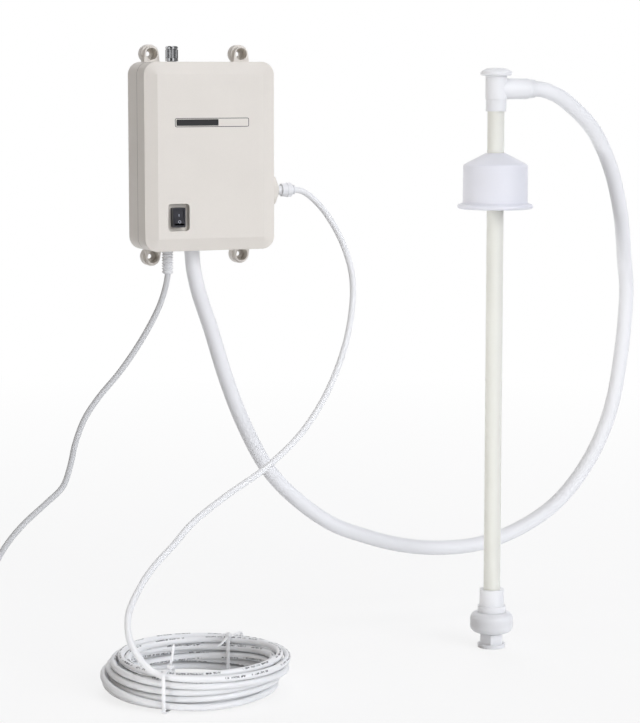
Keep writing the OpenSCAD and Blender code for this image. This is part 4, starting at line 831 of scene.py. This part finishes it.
# Soft boxes of the studio: the way to each, and its strength; the edge fades between two cosines
SOFTBOXES = (((0.30, -0.88, 0.37), 5.05), ((0.05, -0.15, 1.0), 1.6), ((0.19, 0.81, 0.55), 1.9))
SOFTBOX_EDGE = (0.90, 0.98)

# Walls between the soft boxes: their level, their colour, and the one on the left with where it begins
WALL_LEVEL = 0.30
WALL = (0.95, 0.96, 1.0, 1)
LEFT_WALL = (0.52, 0.40, 0.28, 1)
LEFT_FROM = (-0.2, -0.7)

# Dark flags round the front and sides, for what glossy pieces reflect: place from left to right, and how dark
FLAGS = (
    (0.005, 0.8), (0.02, 0.0), (0.10, 0.0), (0.13, 1.0), (0.43, 1.0), (0.46, 0.0), (0.67, 0.0), (0.70, 0.85),
)
FLAG_LEVEL = 0.06
FLAGS_END = 0.5


def add_world():
    world = bpy.data.worlds.new("studio")
    world.use_nodes = True
    tree = world.node_tree
    tree.nodes.clear()
    path = node(tree, "ShaderNodeLightPath")
    toward = node(tree, "ShaderNodeTexCoord").outputs["Generated"]
    room = node(tree, "ShaderNodeSeparateXYZ", {0: toward})
    left = spread(tree, room.outputs[0], *LEFT_FROM, 0.0, 1.0)
    wall = mixed(tree, left, WALL, LEFT_WALL)
    level = WALL_LEVEL
    for place, strength in SOFTBOXES:
        facing = node(
            tree, "ShaderNodeVectorMath", {0: toward, 1: Vector(place).normalized()}, operation="DOT_PRODUCT"
        )
        shine = node(
            tree, "ShaderNodeMapRange",
            {"Value": facing.outputs["Value"], "From Min": SOFTBOX_EDGE[0], "From Max": SOFTBOX_EDGE[1],
             "To Min": 0.0, "To Max": strength},
            interpolation_type="SMOOTHSTEP",
        )
        level = maths(tree, "ADD", level, shine.outputs[0])
    soft = node(tree, "ShaderNodeBackground", {"Color": wall, "Strength": level})
    white = node(tree, "ShaderNodeBackground", {"Color": (1, 1, 1, 1), "Strength": 1.0})
    flags = node(tree, "ShaderNodeValToRGB", {0: spread(tree, room.outputs[0], -1.0, 1.0, 0.0, 1.0)})
    flags.color_ramp.interpolation = "EASE"
    stops = flags.color_ramp.elements
    stops[0].color = (FLAGS[0][1],) * 3 + (1,)
    stops[1].color = (FLAGS[-1][1],) * 3 + (1,)
    for place, shade in FLAGS:
        stops.new(place).color = (shade, shade, shade, 1)
    ahead = maths(tree, "LESS_THAN", room.outputs[1], FLAGS_END)
    front = maths(tree, "MULTIPLY", flags.outputs[0], ahead)
    dim = maths(tree, "MULTIPLY", front, path.outputs["Is Glossy Ray"])
    dark = node(tree, "ShaderNodeBackground", {"Color": (1, 1, 1, 1), "Strength": FLAG_LEVEL})
    shown = node(tree, "ShaderNodeMixShader", {0: dim, 1: white.outputs[0], 2: dark.outputs[0]})
    seen = seen_directly(tree, path)
    blend = node(tree, "ShaderNodeMixShader", {0: seen, 1: soft.outputs[0], 2: shown.outputs[0]})
    out = node(tree, "ShaderNodeOutputWorld")
    tree.links.new(blend.outputs[0], out.inputs["Surface"])
    scene.world = world


# Narrow upright lamp on the wand's left side
LAMP_PLACE = Vector((-0.9, -0.53, -0.2))
LAMP_AIM = Vector((0.262, -0.165, -0.2))
LAMP_SIZE = (0.1, 0.75)
LAMP_SPREAD = 12
LAMP_POWER = 0.13


def add_lamp():
    data = bpy.data.lights.new("wand_side", "AREA")
    data.shape = "ELLIPSE"
    data.size, data.size_y = LAMP_SIZE
    data.energy = LAMP_POWER
    data.spread = math.radians(LAMP_SPREAD)
    lamp = bpy.data.objects.new("wand_side", data)
    lamp.location = LAMP_PLACE
    lamp.rotation_euler = (LAMP_AIM - LAMP_PLACE).to_track_quat("-Z", "Y").to_euler()
    lamp.visible_camera = False
    lamp.visible_glossy = False
    scene.collection.objects.link(lamp)


# Finish

add_camera()
add_world()
add_floor()
add_lamp()
add_cords(add_plug(), *add_ties())
add_relief()
add_marks()

for name, thing in frame["nodes"].items():
    thing.data.materials.clear()
    thing.data.materials.append(MATERIALS[NODE_SLOTS[name]])
